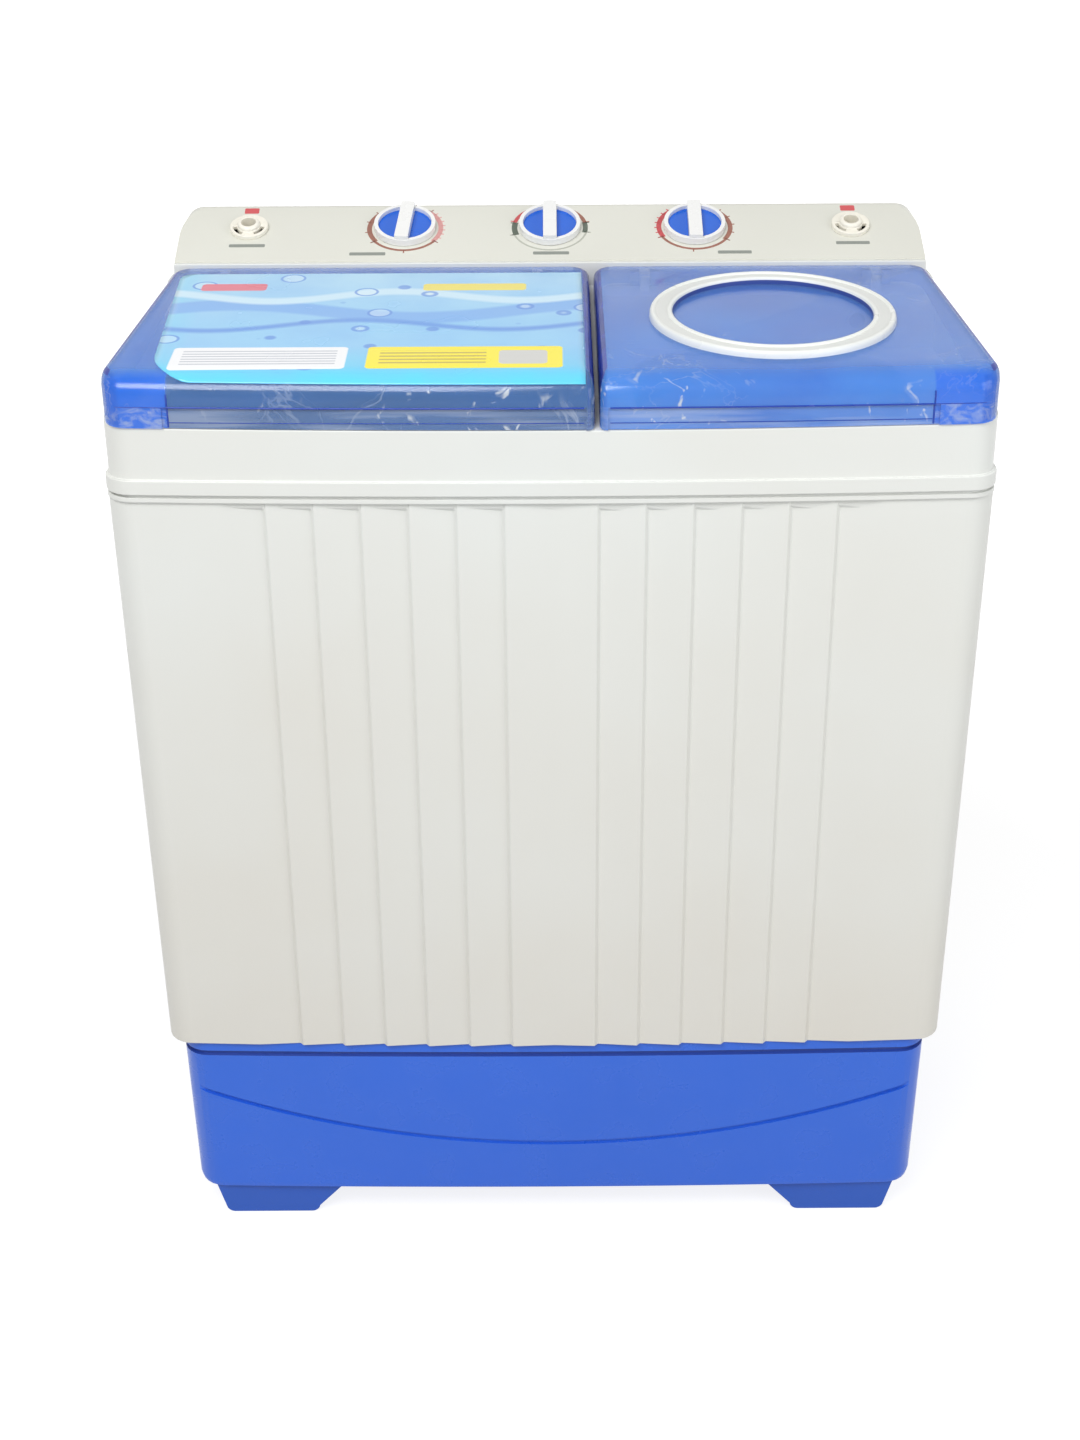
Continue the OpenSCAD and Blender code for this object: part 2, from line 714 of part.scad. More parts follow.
module base_tray() {
    side_top = cabinet_draft + base_inset;
    front_top_in = cabinet_inset + cabinet_draft + base_front_inset;
    front_low = front_top_in + base_front_draft;
    neck_in = seat_lap + push_gap + front_bow - base_bow;
    wall_in = groove_deep + shell_wall;
    function top_plan(inset) = base_plan(side_top + inset, front_top_in + inset, base_inset + inset);
    function neck_plan(inset) = base_plan(side_top + neck_in + inset, front_top_in + neck_in + inset,
        base_inset + seat_lap + push_gap + inset);
    function low_plan(inset) = base_plan(side_top + base_draft + inset, front_low + inset,
        base_inset + base_rear_draft + inset);
    color(base_blue) difference() {
        ring_solid([
            raised(low_plan(base_edge), base_z),
            raised(low_plan(base_edge / 4), base_z + base_edge / 3),
            raised(low_plan(0), base_z + 1.5 * base_edge),
            raised(top_plan(0), collar_z - 1),
            raised(top_plan(groove_deep), collar_z),
            raised(top_plan(groove_deep), collar_z + groove_h),
            raised(top_plan(0), collar_z + groove_h + 1),
            raised(top_plan(0), cab_z),
            raised(neck_plan(0), cab_z),
            raised(neck_plan(0), cab_z + base_lap),
            raised(neck_plan(shell_wall), cab_z + base_lap),
            raised(neck_plan(shell_wall), cab_z - shell_wall),
            raised(top_plan(wall_in), collar_z - shell_wall),
            raised(low_plan(wall_in), base_floor_z + base_edge),
            raised(low_plan(wall_in + base_edge), base_floor_z)]);
        smile_line(front_low + smile_deep);
        translate([valve_x, y_rear - 40, drain_stub_z]) rotate([-90, 0, 0])
            cylinder(r = pipe_r + push_gap, h = 60);
    }
}

// Curved line across the base front, cut to a depth that follows the bow
module smile_line(front_in) {
    difference() {
        intersection() {
            translate([0, y_front, base_z + smile_low + smile_r]) rotate([-90, 0, 0])
                tube(smile_r + smile_w, smile_r, 60);
            translate([-bow_half - 10, y_front, base_z]) cube([2 * bow_half + 20, 60, base_h]);
        }
        translate([0, 0, base_z]) linear_extrude(base_h) polygon(plan(-half_w, half_w, -half_w, half_w,
            y_front + front_in, y_rear, 1, 1, 1, base_bow));
    }
}

module feet() {
    outer = half_w - cabinet_draft - base_inset - base_draft - foot_side_gap;
    inner = outer - foot_w;
    round_r = 8;
    low_out = outer - foot_lean_out;
    low_in = inner + foot_lean_in;
    front = y_front + cabinet_inset + cabinet_draft + base_front_inset + base_front_draft + foot_front_gap;
    rear = cab_rear_y - base_inset - base_rear_draft - base_edge - 4;
    outline = concat([[inner, base_z]], arc(low_in + round_r, round_r, round_r, 190, 270),
        arc(low_out - round_r, round_r, round_r, 270, 350), [[outer, base_z]]);
    color(base_blue) for (side = [0, 1], y = [front + foot_d, rear]) mirror([side, 0, 0])
        translate([0, y, 0]) rotate([90, 0, 0]) linear_extrude(foot_d) polygon(outline);
}

// Solid of the frame before its hinge ears and riser
module frame_body() {
    profile = [[y_front - 5, lip_z], [y_front - 5, curb_z(y_front - 5)], [hinge_y, shelf_z], [riser_y1,
        shelf_z],
        [riser_y1, seat_panel_z], [y_rear + 5, seat_panel_z], [y_rear + 5, lip_z]];
    under = [[shelf_y + shell_wall, deck_top], [shelf_y + shell_wall, shelf_z - shell_wall],
        [riser_y1 - shell_wall, shelf_z - shell_wall], [riser_y1 - shell_wall, seat_panel_z - shell_wall],
        [y_rear - band_inset - frame_wall, seat_panel_z - shell_wall],
            [y_rear - band_inset - frame_wall, deck_top]];
    difference() {
        intersection() {
            union() {
                translate([0, 0, lip_z]) linear_extrude(lip_h) polygon(body_plan(0));
                translate([0, 0, lip_z + 1]) linear_extrude(seat_panel_z) polygon(body_plan(band_inset));
            }
            side_view(profile, -body_w, body_w);
        }
        translate([0, 0, lip_z - 1]) linear_extrude(seat_up + 1) polygon(body_plan(shell_wall));
        translate([0, 0, lip_z]) linear_extrude(deck_z - lip_z)
            polygon(body_plan(band_inset + frame_wall));
        difference() {
            intersection() {
                translate([0, 0, deck_top]) linear_extrude(200)
                    polygon(body_plan(band_inset + shell_wall));
                translate([-body_w, -body_d, 0]) cube([2 * body_w, body_d + shelf_y, 2000]);
            }
            translate([lid_split_x - curb_w / 2, -body_d, 0]) cube([curb_w, 2 * body_d, 2000]);
        }
        intersection() {
            side_view(under, -body_w, body_w);
            linear_extrude(2000) polygon(body_plan(band_inset + frame_wall));
        }
        service_opening();
        translate([-panel_open_x, face_y + 8, seat_panel_z - 10])
            cube([2 * panel_open_x, panel_rear_y - face_y - 17, 20]);
        wash_mouth();
        spin_mouth();
    }
}

// Opening in the deck behind the tubs, for the rod, the cable and the wiring
module service_opening() {
    y1 = y_rear - band_inset - frame_wall;
    translate([-panel_open_x, service_y, deck_z - 1]) cube([2 * panel_open_x, y1 - service_y,
        shell_wall + 2]);
}

module wash_mouth() {
    y0 = wash_y - wash_tub_d / 2 + mouth_inset;
    translate([wash_x, (y0 + mouth_y1) / 2, deck_z - 1]) linear_extrude(shell_wall + 2)
        round_rect(wash_tub_w - 2 * mouth_inset, mouth_y1 - y0, wash_corner_r - mouth_inset);
}

module spin_mouth() {
    y0 = spin_y - spin_tub_w / 2 + mouth_inset;
    translate([spin_x, (y0 + mouth_y1) / 2, deck_z - 1]) linear_extrude(shell_wall + 2)
        round_rect(spin_tub_w - 2 * mouth_inset, mouth_y1 - y0, spin_corner_r - mouth_inset);
}

module hinge_ear(x) {
    translate([x - ear_t / 2, hinge_y - ear_w / 2, shelf_z - 1])
        cube([ear_t, ear_w, hinge_z - shelf_z + 1]);
    along_hinge(x, ear_t, ear_r);
}

// Cylinder on the hinge line, centred on x
module along_hinge(x, l, r) {
    translate([x - l / 2, hinge_y, hinge_z]) rotate([0, 90, 0]) cylinder(r = r, h = l);
}

module top_frame() {
    color(shell_white) difference() {
        union() {
            frame_body();
            translate([-panel_w / 2, riser_y0, shelf_z - 1])
                cube([panel_w, riser_t, riser_top_z - shelf_z + 1]);
            for (x = concat(wash_hinges, spin_hinges)) hinge_ear(x);
        }
        for (x = concat(wash_hinges, spin_hinges)) along_hinge(x, ear_t + 2, hinge_pin_d / 2 + seat_gap);
        for (x = [-inlet_x, inlet_x]) translate([x, shelf_y - 1, spout_z]) rotate([-90, 0, 0])
            cylinder(r = spout_r + push_gap, h = shell_wall + 2);
    }
}

module control_panel() {
    color(panel_grey) difference() {
        intersection() {
            side_view(panel_profile(0), -panel_w / 2, panel_w / 2);
            panel_front_view(0);
        }
        intersection() {
            side_view(panel_profile(shell_wall), -panel_w / 2 + shell_wall, panel_w / 2 - shell_wall);
            panel_front_view(shell_wall);
        }
        for (k = [-1:1]) on_panel(k * knob_pitch, knob_up) translate([0, 0, -10])
            cylinder(d = knob_shaft_d + 3, h = 20);
        for (x = [-inlet_x, inlet_x]) on_panel(x, knob_up) translate([0, 0, -10]) rotate(inlet_turn)
            cylinder(d = inlet_d - 2 * inlet_seat, h = 20);
    }
}

function panel_profile(t) = let (low = seat_panel_z - (t > 0 ? 1 : 0)) concat(
    [[face_y + t, low], [face_y + t, face_z(face_y + t, t)]],
    arc(crest_y, crest_z, panel_crest_r - t, 90 + panel_slope, 0),
    [[panel_rear_y - t, low]]);

// Front view of the panel with its two rounded upper corners, drawn through from front to rear
module panel_front_view(inset) {
    half = panel_w / 2 - inset;
    w = panel_corner_w - inset;
    h = panel_corner_h - inset;
    z = crest_z + panel_crest_r - panel_corner_h;
    low = seat_panel_z - 5;
    corner = [for (a = [0:11.25:90]) [half - w + w * cos(a), z + h * sin(a)]];
    right = concat([[half, low]], corner);
    left = [for (i = [len(right) - 1:-1:0]) [-right[i][0], right[i][1]]];
    rotate([90, 0, 0]) linear_extrude(2 * body_d, center = true) polygon(concat(right, left));
}

// Lid shell between two front ends and two rear ends, with hinge bosses and a finger strip on its front
module lid_shell(fl, fr, rl, rr, cl, cr, hinges, strip_x0, strip_x1) {
    outer = concat([[for (p = lid_plan(fl, fr, rl, rr, cl, cr, 0, 0)) [p[0], p[1], lid_under(p[1])]]],
        lid_rings(fl, fr, rl, rr, cl, cr, 0));
    inner = concat([[for (p = lid_plan(fl, fr, rl, rr, cl, cr, lid_wall, lid_wall))
        [p[0], p[1], lid_under(p[1]) - 10]]], lid_rings(fl, fr, rl, rr, cl, cr, lid_wall));
    difference() {
        union() {
            difference() {
                ring_solid(outer);
                ring_solid(inner);
            }
            for (x = hinges, side = [-1, 1])
                along_hinge(x + side * (ear_t / 2 + notch_side + boss_l / 2), boss_l,
                    hinge_r - lid_wall + 0.5);
        }
        difference() {
            translate([rl - 5, hinge_y, hinge_z - 30]) cube([rr - rl + 10, 40, 30]);
            along_hinge((rl + rr) / 2, rr - rl + 20, hinge_r);
        }
        for (x = hinges) {
            along_hinge(x, pin_l + 2, hinge_pin_d / 2 + run_gap);
            translate([x - ear_t / 2 - notch_side, hinge_y - 14, hinge_z - 20])
                cube([ear_t + 2 * notch_side, 30, 20 + ear_r + 1.7]);
        }
        difference() {
            translate([strip_x0, y_front - 5, lid_z0 - 5]) cube([strip_x1 - strip_x0, 60, strip_h + 5]);
            translate([0, 0, lid_z0 - 10]) linear_extrude(60)
                polygon(lid_plan(fl, fr, rl, rr, cl, cr, strip_deep, strip_deep));
        }
    }
}

function lid_under(y) = lid_z0 + (y - lid_y0) * curb_tan;

module wash_lid() {
    color(lid_blue) lid_shell(-lid_half, wash_lid_x1, -lid_half + lid_taper, wash_lid_x1, corner_out,
        corner_mid,
        wash_hinges, -lid_half + strip_corner, wash_lid_x1 - corner_mid);
}

module spin_lid() {
    color(lid_blue) lid_shell(spin_lid_x0, lid_half, spin_lid_x0, lid_half - lid_taper, corner_mid,
        corner_out,
        spin_hinges, spin_lid_x0 + corner_mid, lid_half - strip_corner);
}

module spin_lid_ring() {
    ro = ring_outer_d / 2;
    ri = ring_inner_d / 2;
    edge = ring_h / 3;
    color(shell_white) translate([spin_x, ring_y, lid_top_z(ring_y)]) rotate([lid_slope, 0, 0])
        rotate_extrude() polygon([[ri, 0], [ro, 0], [ro, ring_h - edge], [ro - edge, ring_h],
            [ri + edge, ring_h], [ri, ring_h - edge]]);
}

module wash_lid_pins() {
    color(steel) for (x = wash_hinges) along_hinge(x, pin_l, hinge_pin_d / 2);
}

module spin_lid_pins() {
    color(steel) for (x = spin_hinges) along_hinge(x, pin_l, hinge_pin_d / 2);
}

// Knob with its rim, base and grip bar, and a blind hole for its shaft
module knob(x, turn) {
    color(shell_white) on_panel(x, knob_up) rotate([0, 0, turn]) difference() {
        translate([0, 0, knob_gap]) union() {
            cylinder(d = knob_d, h = knob_base_t);
            tube(knob_d / 2, knob_d / 2 - knob_rim, knob_rim_h);
            intersection() {
                cylinder(d = knob_d - 1, h = knob_bar_h);
                translate([-knob_bar_w / 2, -knob_d, 0]) cube([knob_bar_w, 2 * knob_d, 2 * knob_bar_h]);
            }
        }
        translate([0, 0, -1]) cylinder(d = knob_shaft_d + 2 * seat_gap, h = knob_shaft_top + 1);
    }
}

// Two half moons that fill the knob beside its grip bar
module knob_inlay(x, turn) {
    color(knob_blue) on_panel(x, knob_up) rotate([0, 0, turn])
        translate([0, 0, knob_gap + knob_base_t]) difference() {
        cylinder(r = knob_d / 2 - knob_rim - push_gap / 2, h = knob_inlay_h);
        translate([-knob_bar_w / 2 - push_gap / 2, -knob_d, -1])
            cube([knob_bar_w + push_gap, 2 * knob_d, 40]);
    }
}

module knob_shaft(x) {
    color(steel) on_panel(x, knob_up) translate([0, 0, timer_h0 - knob_shaft_in])
        cylinder(d = knob_shaft_d, h = knob_shaft_top - timer_h0 + knob_shaft_in);
}

// Body behind the panel, with a blind hole for its shaft
module timer_body(x, deep, body_color) {
    color(body_color) on_panel(x, knob_up) difference() {
        translate([-timer_w / 2, -timer_s / 2, timer_h0 - deep]) cube([timer_w, timer_s, deep]);
        translate([0, 0, timer_h0 - knob_shaft_in - 1]) cylinder(d = knob_shaft_d + 2 * run_gap,
            h = knob_shaft_in + 2);
    }
}

module wash_timer_knob() { knob(-knob_pitch, wash_knob_turn); }
module drain_selector_knob() { knob(0, 0); }
module spin_timer_knob() { knob(knob_pitch, 0); }
module wash_timer_inlay() { knob_inlay(-knob_pitch, wash_knob_turn); }
module drain_selector_inlay() { knob_inlay(0, 0); }
module spin_timer_inlay() { knob_inlay(knob_pitch, 0); }
module wash_timer_shaft() { knob_shaft(-knob_pitch); }
module drain_selector_shaft() { knob_shaft(0); }
module spin_timer_shaft() { knob_shaft(knob_pitch); }
module wash_timer() { timer_body(-knob_pitch, timer_deep, cream); }
module drain_selector() { timer_body(0, timer_deep - 8, shell_white); }
module spin_timer() { timer_body(knob_pitch, timer_deep, cream); }

module inlet(x) {
    color(cream) on_panel(x, knob_up) difference() {
        union() {
            cylinder(d = inlet_d, h = inlet_flange_t);
            translate([0, 0, -inlet_deep]) cylinder(d = inlet_nozzle_d, h = inlet_deep);
            rotate_extrude() polygon(concat([[0, 0], [inlet_nozzle_d / 2, 0]],
                arc(inlet_nozzle_d / 2 - inlet_round, inlet_nozzle_h - inlet_round, inlet_round, 0, 90),
                [[0, inlet_nozzle_h]]));
        }
        translate([0, 0, -inlet_deep - 1]) cylinder(d = inlet_bore_d,
            h = inlet_deep + inlet_nozzle_h + 2);
        for (a = [185, 355 - inlet_slot_turn]) translate([0, 0, -1]) linear_extrude(inlet_flange_t + 2)
            inlet_slot(a, a + inlet_slot_turn);
    }
}

// Curved opening in an inlet flange, between the nozzle and the seat of the flange
module inlet_slot(a0, a1) {
    polygon(concat(arc(0, 0, inlet_slot_out, a0, a1), arc(0, 0, inlet_slot_in, a1, a0)));
}

module wash_inlet() { inlet(-inlet_x); }
module spin_inlet() { inlet(inlet_x); }

// Pipe from an inlet down to a closed end, with a spout that branches off forward over the tub
module fill_pipe(x) {
    branch_h = (spout_z - face_z0 - knob_up * sin(panel_slope)) / cos(panel_slope);
    color(tub_white) difference() {
        union() {
            on_panel(x, knob_up) translate([0, 0, branch_h - fill_end])
                cylinder(r = fill_r, h = fill_end - branch_h - inlet_deep);
            fill_spout(x, branch_h, spout_r, 2);
        }
        on_panel(x, knob_up) translate([0, 0, branch_h - fill_end + fill_wall])
            cylinder(r = fill_r - fill_wall, h = fill_end - branch_h);
        fill_spout(x, branch_h, spout_r - fill_wall, 8);
    }
}

// Round bar from the axis of a fill pipe forward past the shelf
module fill_spout(x, branch_h, r, past) {
    from = panel_point(x, knob_up, branch_h);
    translate(from) rotate([90, 0, 0]) cylinder(r = r, h = from[1] - shelf_y + past);
}

module wash_fill_pipe() { fill_pipe(-inlet_x); }
module spin_fill_pipe() { fill_pipe(inlet_x); }

// Open tub with a flange under the deck
module tub(x, y, w, d, r) {
    translate([x, y, 0]) difference() {
        union() {
            translate([0, 0, tub_bottom_z]) linear_extrude(deck_z - tub_bottom_z)
                round_rect(w + 2 * tub_wall, d + 2 * tub_wall, r + tub_wall);
            translate([0, 0, deck_z - tub_wall]) linear_extrude(tub_wall)
                round_rect(w + 2 * (tub_wall + tub_flange), d + 2 * (tub_wall + tub_flange),
                    r + tub_wall + tub_flange);
        }
        translate([0, 0, floor_z]) linear_extrude(deck_z) round_rect(w, d, r);
    }
}

module wash_tub() {
    wall_x = wash_x - wash_tub_w / 2;
    color(tub_white) difference() {
        union() {
            tub(wash_x, wash_y, wash_tub_w, wash_tub_d, wash_corner_r);
            translate([wall_x - 1, wash_y - filter_w / 2 - 6, filter_z - 4])
                cube([filter_t + 1, filter_w + 12, 4]);
            for (side = [-1, 1]) translate([wall_x - 1, wash_y + side * (filter_w / 2 + push_gap + 1.5)
                - 1.5, filter_z - 4])
                cube([filter_t + 1, 3, filter_h]);
        }
        translate([wash_x, wash_y, tub_bottom_z - 1]) cylinder(r = seal_r + push_gap,
            h = tub_floor_t + 2);
        translate([valve_x, wash_rear - 1, port_z]) rotate([-90, 0, 0])
            cylinder(r = port_r, h = tub_wall + 2);
    }
}

module spin_tub() {
    color(tub_white) difference() {
        tub(spin_x, spin_y, spin_tub_w, spin_tub_w, spin_corner_r);
        translate([spin_x, spin_y, tub_bottom_z - 1]) cylinder(r = spin_seal_r + push_gap,
            h = tub_floor_t + 2);
        translate([spin_drain_x, spin_drain_y, tub_bottom_z - 1])
            cylinder(r = branch_r - pipe_wall, h = tub_floor_t + 2);
    }
}

module pulsator() {
    r = pulsator_d / 2;
    color(base_blue) translate([wash_x, wash_y, pulsator_z]) difference() {
        union() {
            rotate_extrude() polygon(concat([[0, 0], [r, 0]], arc(r - 4, 6, 4, 0, 90), [[hub_r + 30,
                pulsator_t],
                [hub_r, hub_h], [0, hub_h]]));
            intersection() {
                cylinder(r = r - 8, h = hub_h + vane_h);
                for (i = [0:vane_count - 1]) rotate([0, 0, 360 * i / vane_count])
                    translate([0, 0, pulsator_t]) rotate([0, 90, 0]) cylinder(r = vane_h, h = r - 14);
            }
        }
        translate([0, 0, -1]) cylinder(d = wash_shaft_d + 2 * seat_gap, h = shaft_in_hub + 1);
        cylinder(r = bolt_r + push_gap, h = hub_h + vane_h);
        translate([0, 0, hub_h]) cylinder(r = hub_r, h = hub_h + vane_h);
    }
}

module pulsator_bolt() {
    color(steel) translate([wash_x, wash_y, pulsator_z]) union() {
        translate([0, 0, shaft_in_hub]) cylinder(r = bolt_r, h = hub_h - shaft_in_hub + 1);
        translate([0, 0, hub_h]) difference() {
            cylinder(r = 9, h = 6);
            translate([0, 0, 3]) cylinder(r = 4, h = 5, $fn = 6);
        }
    }
}

module pulsator_shaft() {
    z0 = pulley_z - 3;
    color(steel) translate([wash_x, wash_y, z0]) cylinder(d = wash_shaft_d,
        h = pulsator_z + shaft_in_hub - z0);
}

module shaft_seal() {
    color(black) translate([wash_x, wash_y, tub_bottom_z])
        tube(seal_r, wash_shaft_d / 2 + run_gap, tub_floor_t + pulsator_gap - 1);
}

module pulsator_bearing() {
    color(iron) translate([wash_x, wash_y, bearing_z]) difference() {
        union() {
            cylinder(r = bearing_r, h = bearing_h);
            translate([0, 0, bearing_h - bearing_flange_t])
                cylinder(r = bearing_flange_r, h = bearing_flange_t);
        }
        translate([0, 0, -1]) cylinder(r = wash_shaft_d / 2 + run_gap, h = bearing_h + 2);
    }
}

module drive_pulley() {
    color(iron) translate([wash_x, wash_y, pulley_z]) difference() {
        cylinder(d = pulley_d, h = belt_w);
        translate([0, 0, 4]) tube(pulley_d / 2 - 8, 22, belt_w);
        translate([0, 0, -1]) cylinder(d = wash_shaft_d + 2 * seat_gap, h = belt_w + 2);
        for (i = [0:4]) rotate([0, 0, 72 * i]) translate([pulley_d / 2 - 30, 0, -1])
            cylinder(r = 14, h = 8);
    }
}

module drive_belt() {
    r1 = pulley_d / 2 + push_gap;
    r2 = motor_pulley_d / 2 + push_gap;
    color(black) translate([wash_x, wash_y, pulley_z]) rotate([0, 0, atan2(motor_off_y, motor_off_x)])
        linear_extrude(belt_w) difference() {
            polygon(belt_loop(r1 + belt_t, r2 + belt_t, motor_span));
            polygon(belt_loop(r1, r2, motor_span));
        }
}

module wash_motor() {
    color(iron) translate([motor_x, motor_y, bracket_z - wash_motor_h]) difference() {
        union() {
            translate([0, 0, 10]) cylinder(d = wash_motor_d, h = wash_motor_h - 20);
            cylinder(d = wash_motor_d - 24, h = wash_motor_h);
        }
        translate([0, 0, wash_motor_h - motor_shaft_in]) cylinder(d = motor_shaft_d + 2 * run_gap,
            h = 60);
    }
}

module wash_motor_shaft() {
    z0 = bracket_z - motor_shaft_in;
    color(steel) translate([motor_x, motor_y, z0]) cylinder(d = motor_shaft_d,
        h = pulley_z + belt_w + 3 - z0);
}

module motor_pulley() {
    color(iron) translate([motor_x, motor_y, pulley_z]) tube(motor_pulley_d / 2,
        motor_shaft_d / 2 + seat_gap, belt_w);
}

module motor_bracket() {
    color(steel) difference() {
        union() {
            translate([motor_x - 75, motor_y - 58, bracket_z]) cube([136, 106, bracket_t]);
            for (p = bracket_posts) translate([motor_x + p[0] - post_w / 2,
                motor_y + p[1] - post_w / 2, bracket_z])
                cube([post_w, post_w, tub_bottom_z - bracket_z]);
        }
        translate([motor_x, motor_y, bracket_z - 1]) cylinder(r = 14, h = bracket_t + 2);
    }
}

module lint_filter() {
    x0 = wash_x - wash_tub_w / 2 + push_gap;
    color(cream) difference() {
        translate([x0, wash_y - filter_w / 2, filter_z]) cube([filter_t - push_gap, filter_w, filter_h]);
        translate([x0 + 2, wash_y - filter_w / 2 + 8, filter_z + 8])
            cube([filter_t, filter_w - 16, filter_h - 40]);
    }
}

module overflow_cover() {
    slot_x = (cover_w - 4 * slot_pitch - slot_w) / 2;
    color(tub_white) translate([valve_x - cover_left, wash_rear - cover_deep, floor_z + cover_lift])
        difference() {
        cube([cover_w, cover_deep, cover_h]);
        translate([cover_t, cover_t, -1])
            cube([cover_w - 2 * cover_t, cover_deep, cover_h + 1 - cover_t]);
        for (i = [0:4], z = [slot_low, cover_h - slot_drop])
            translate([slot_x + slot_pitch * i, -1, z]) cube([slot_w, 2 * cover_t, slot_h]);
    }
}

module spin_basket() {
    r = basket_r;
    w = basket_wall;
    row_pitch = (basket_h - 110) / basket_hole_rows;
    color(tub_white) translate([spin_x, spin_y, basket_z]) difference() {
        rotate_extrude() polygon(concat([[0, 0], [r - 12, 0]], arc(r - 12, 12, 12, -90, 0),
            [[r, basket_h], [r - 12, basket_h], [r - 12, basket_h - 25], [r - w, basket_h - 32]],
            arc(r - 12, 12, 12 - w, 0, -90), [[basket_hub_r, w], [basket_hub_r, 24], [0, 24]]));
        translate([0, 0, -1]) cylinder(d = spin_shaft_d + 2 * seat_gap, h = shaft_in_basket + 1);
        for (row = [0:basket_hole_rows - 1], i = [0:basket_hole_columns - 1])
            rotate([0, 0, (i + (row % 2) / 2) * 360 / basket_hole_columns])
                translate([0, 0, 45 + row * row_pitch]) rotate([0, 90, 0]) translate([0, 0, r - 20])
                    cylinder(d = basket_hole_d, h = 30);
    }
}

module basket_mat() {
    color(cream) translate([spin_x, spin_y, basket_z + basket_wall]) difference() {
        tube(0.835 * basket_r, basket_hub_r + 4, 4);
        for (i = [0:11]) rotate([0, 0, 30 * i]) translate([0.633 * basket_r, 0, -1])
            cylinder(r = 0.046 * basket_r, h = 6);
    }
}

module spin_shaft() {
    z0 = spin_motor_top - motor_shaft_in;
    color(steel) translate([spin_x, spin_y, z0]) cylinder(d = spin_shaft_d,
        h = basket_z + shaft_in_basket - z0);
}

module spin_seal() {
    ri = spin_shaft_d / 2 + run_gap;
    rim = spin_seal_r + seal_flange;
    color(black) translate([spin_x, spin_y, tub_bottom_z]) rotate_extrude() polygon([[ri, -seal_drop],
        [seal_lip_r, -seal_drop], [rim, -seal_flange_t], [rim, 0], [spin_seal_r, 0],
        [spin_seal_r, tub_floor_t + seal_up], [ri, tub_floor_t + seal_crown]]);
}

module spin_motor() {
    color(iron) translate([spin_x, spin_y, spin_motor_z]) difference() {
        union() {
            cylinder(d = spin_motor_d - 26, h = spin_motor_h);
            translate([0, 0, 12]) cylinder(d = spin_motor_d, h = spin_motor_h - 24);
        }
        translate([0, 0, spin_motor_h - motor_shaft_in]) cylinder(d = spin_shaft_d + 2 * run_gap, h = 60);
    }
}

module spin_motor_plate() {
    color(steel) translate([spin_x - plate_w / 2, spin_y - plate_d / 2, plate_z])
        cube([plate_w, plate_d, plate_t]);
}

module motor_dampers() {
    color(black) for (p = damper_places)
        translate([spin_x + p[0], spin_y + p[1], base_floor_z]) tube(damper_r, damper_hole_r, damper_h);
}

module brake_drum() {
    color(iron) translate([spin_x, spin_y, drum_z]) difference() {
        cylinder(d = drum_d, h = drum_h);
        translate([0, 0, 6]) tube(drum_d / 2 - 7, 16, drum_h);
        translate([0, 0, -1]) cylinder(d = spin_shaft_d + 2 * seat_gap, h = drum_h + 2);
    }
}

module brake_bracket() {
    top = drum_z + lever_up - push_gap;
    color(steel) translate([lever_x, lever_y, 0]) union() {
        translate([-pillar_w / 2, -pillar_w / 2, spin_motor_z])
            cube([pillar_w, pillar_w, top - spin_motor_z]);
        translate([0, 0, top - 1]) cylinder(r = lever_pin_r, h = lever_t + 5);
    }
}

module brake_lever() {
    arm = 12;
    shoe_l = 24;
    color(steel) translate([lever_x, lever_y, drum_z + lever_up]) difference() {
        union() {
            cylinder(r = 3 * lever_pin_r, h = lever_t);
            translate([-arm / 2, -lever_reach - shoe_l / 2, 0])
                cube([arm, lever_reach + shoe_l / 2, lever_t]);
            translate([-shoe_w, -lever_reach - shoe_l / 2, 0]) cube([shoe_w, shoe_l, lever_t]);
        }
        translate([0, 0, -1]) cylinder(r = lever_pin_r + run_gap, h = lever_t + 2);
    }
}

module brake_cable() {
    y_run = service_y + cable_run;
    route = smooth_route([
        [lever_x, lever_y + pillar_w / 2, drum_z - cable_drop],
        [lever_x - cable_side, lever_y + cable_back, drum_z],
        [lever_x - cable_in, y_run - cable_drop, drum_z + cable_rise],
        [switch_x, y_run, tub_bottom_z],
        [switch_x, y_run, deck_z - cable_straight],
        [switch_x, y_run, deck_z - cable_in],
        [switch_x, y_run - cable_drop, deck_z + cable_over],
        [switch_x, switch_y1, switch_z + cable_end]]);
    color(black) ring_solid([for (i = [0:len(route) - 1]) cable_ring(route, i, cable_r)]);
}

module lid_switch() {
    color(cream) translate([switch_x - switch_w / 2, switch_y0, switch_z])
        cube([switch_w, switch_d, switch_h]);
}

module drain_valve_box() {
    w = shell_wall;
    color(tub_white) difference() {
        union() {
            translate([valve_x - valve_w / 2, valve_y0, valve_z]) cube([valve_w, valve_d, valve_h]);
            translate([valve_x, wash_rear + tub_wall, port_z]) rotate([-90, 0, 0])
                cylinder(r = port_r + 3, h = 6);
        }
        translate([valve_x - valve_w / 2 + w, valve_y0 + w, valve_z + w])
            cube([valve_w - 2 * w, valve_d - 2 * w, valve_h - 2 * w]);
        translate([valve_x, wash_rear, port_z]) rotate([-90, 0, 0]) cylinder(r = port_r, h = 20);
        translate([valve_x, valve_y, valve_z - 1]) cylinder(r = pipe_r - pipe_wall, h = 20);
        translate([valve_x, valve_y, valve_z + valve_h - 10]) cylinder(r = rod_r + run_gap, h = 20);
    }
}

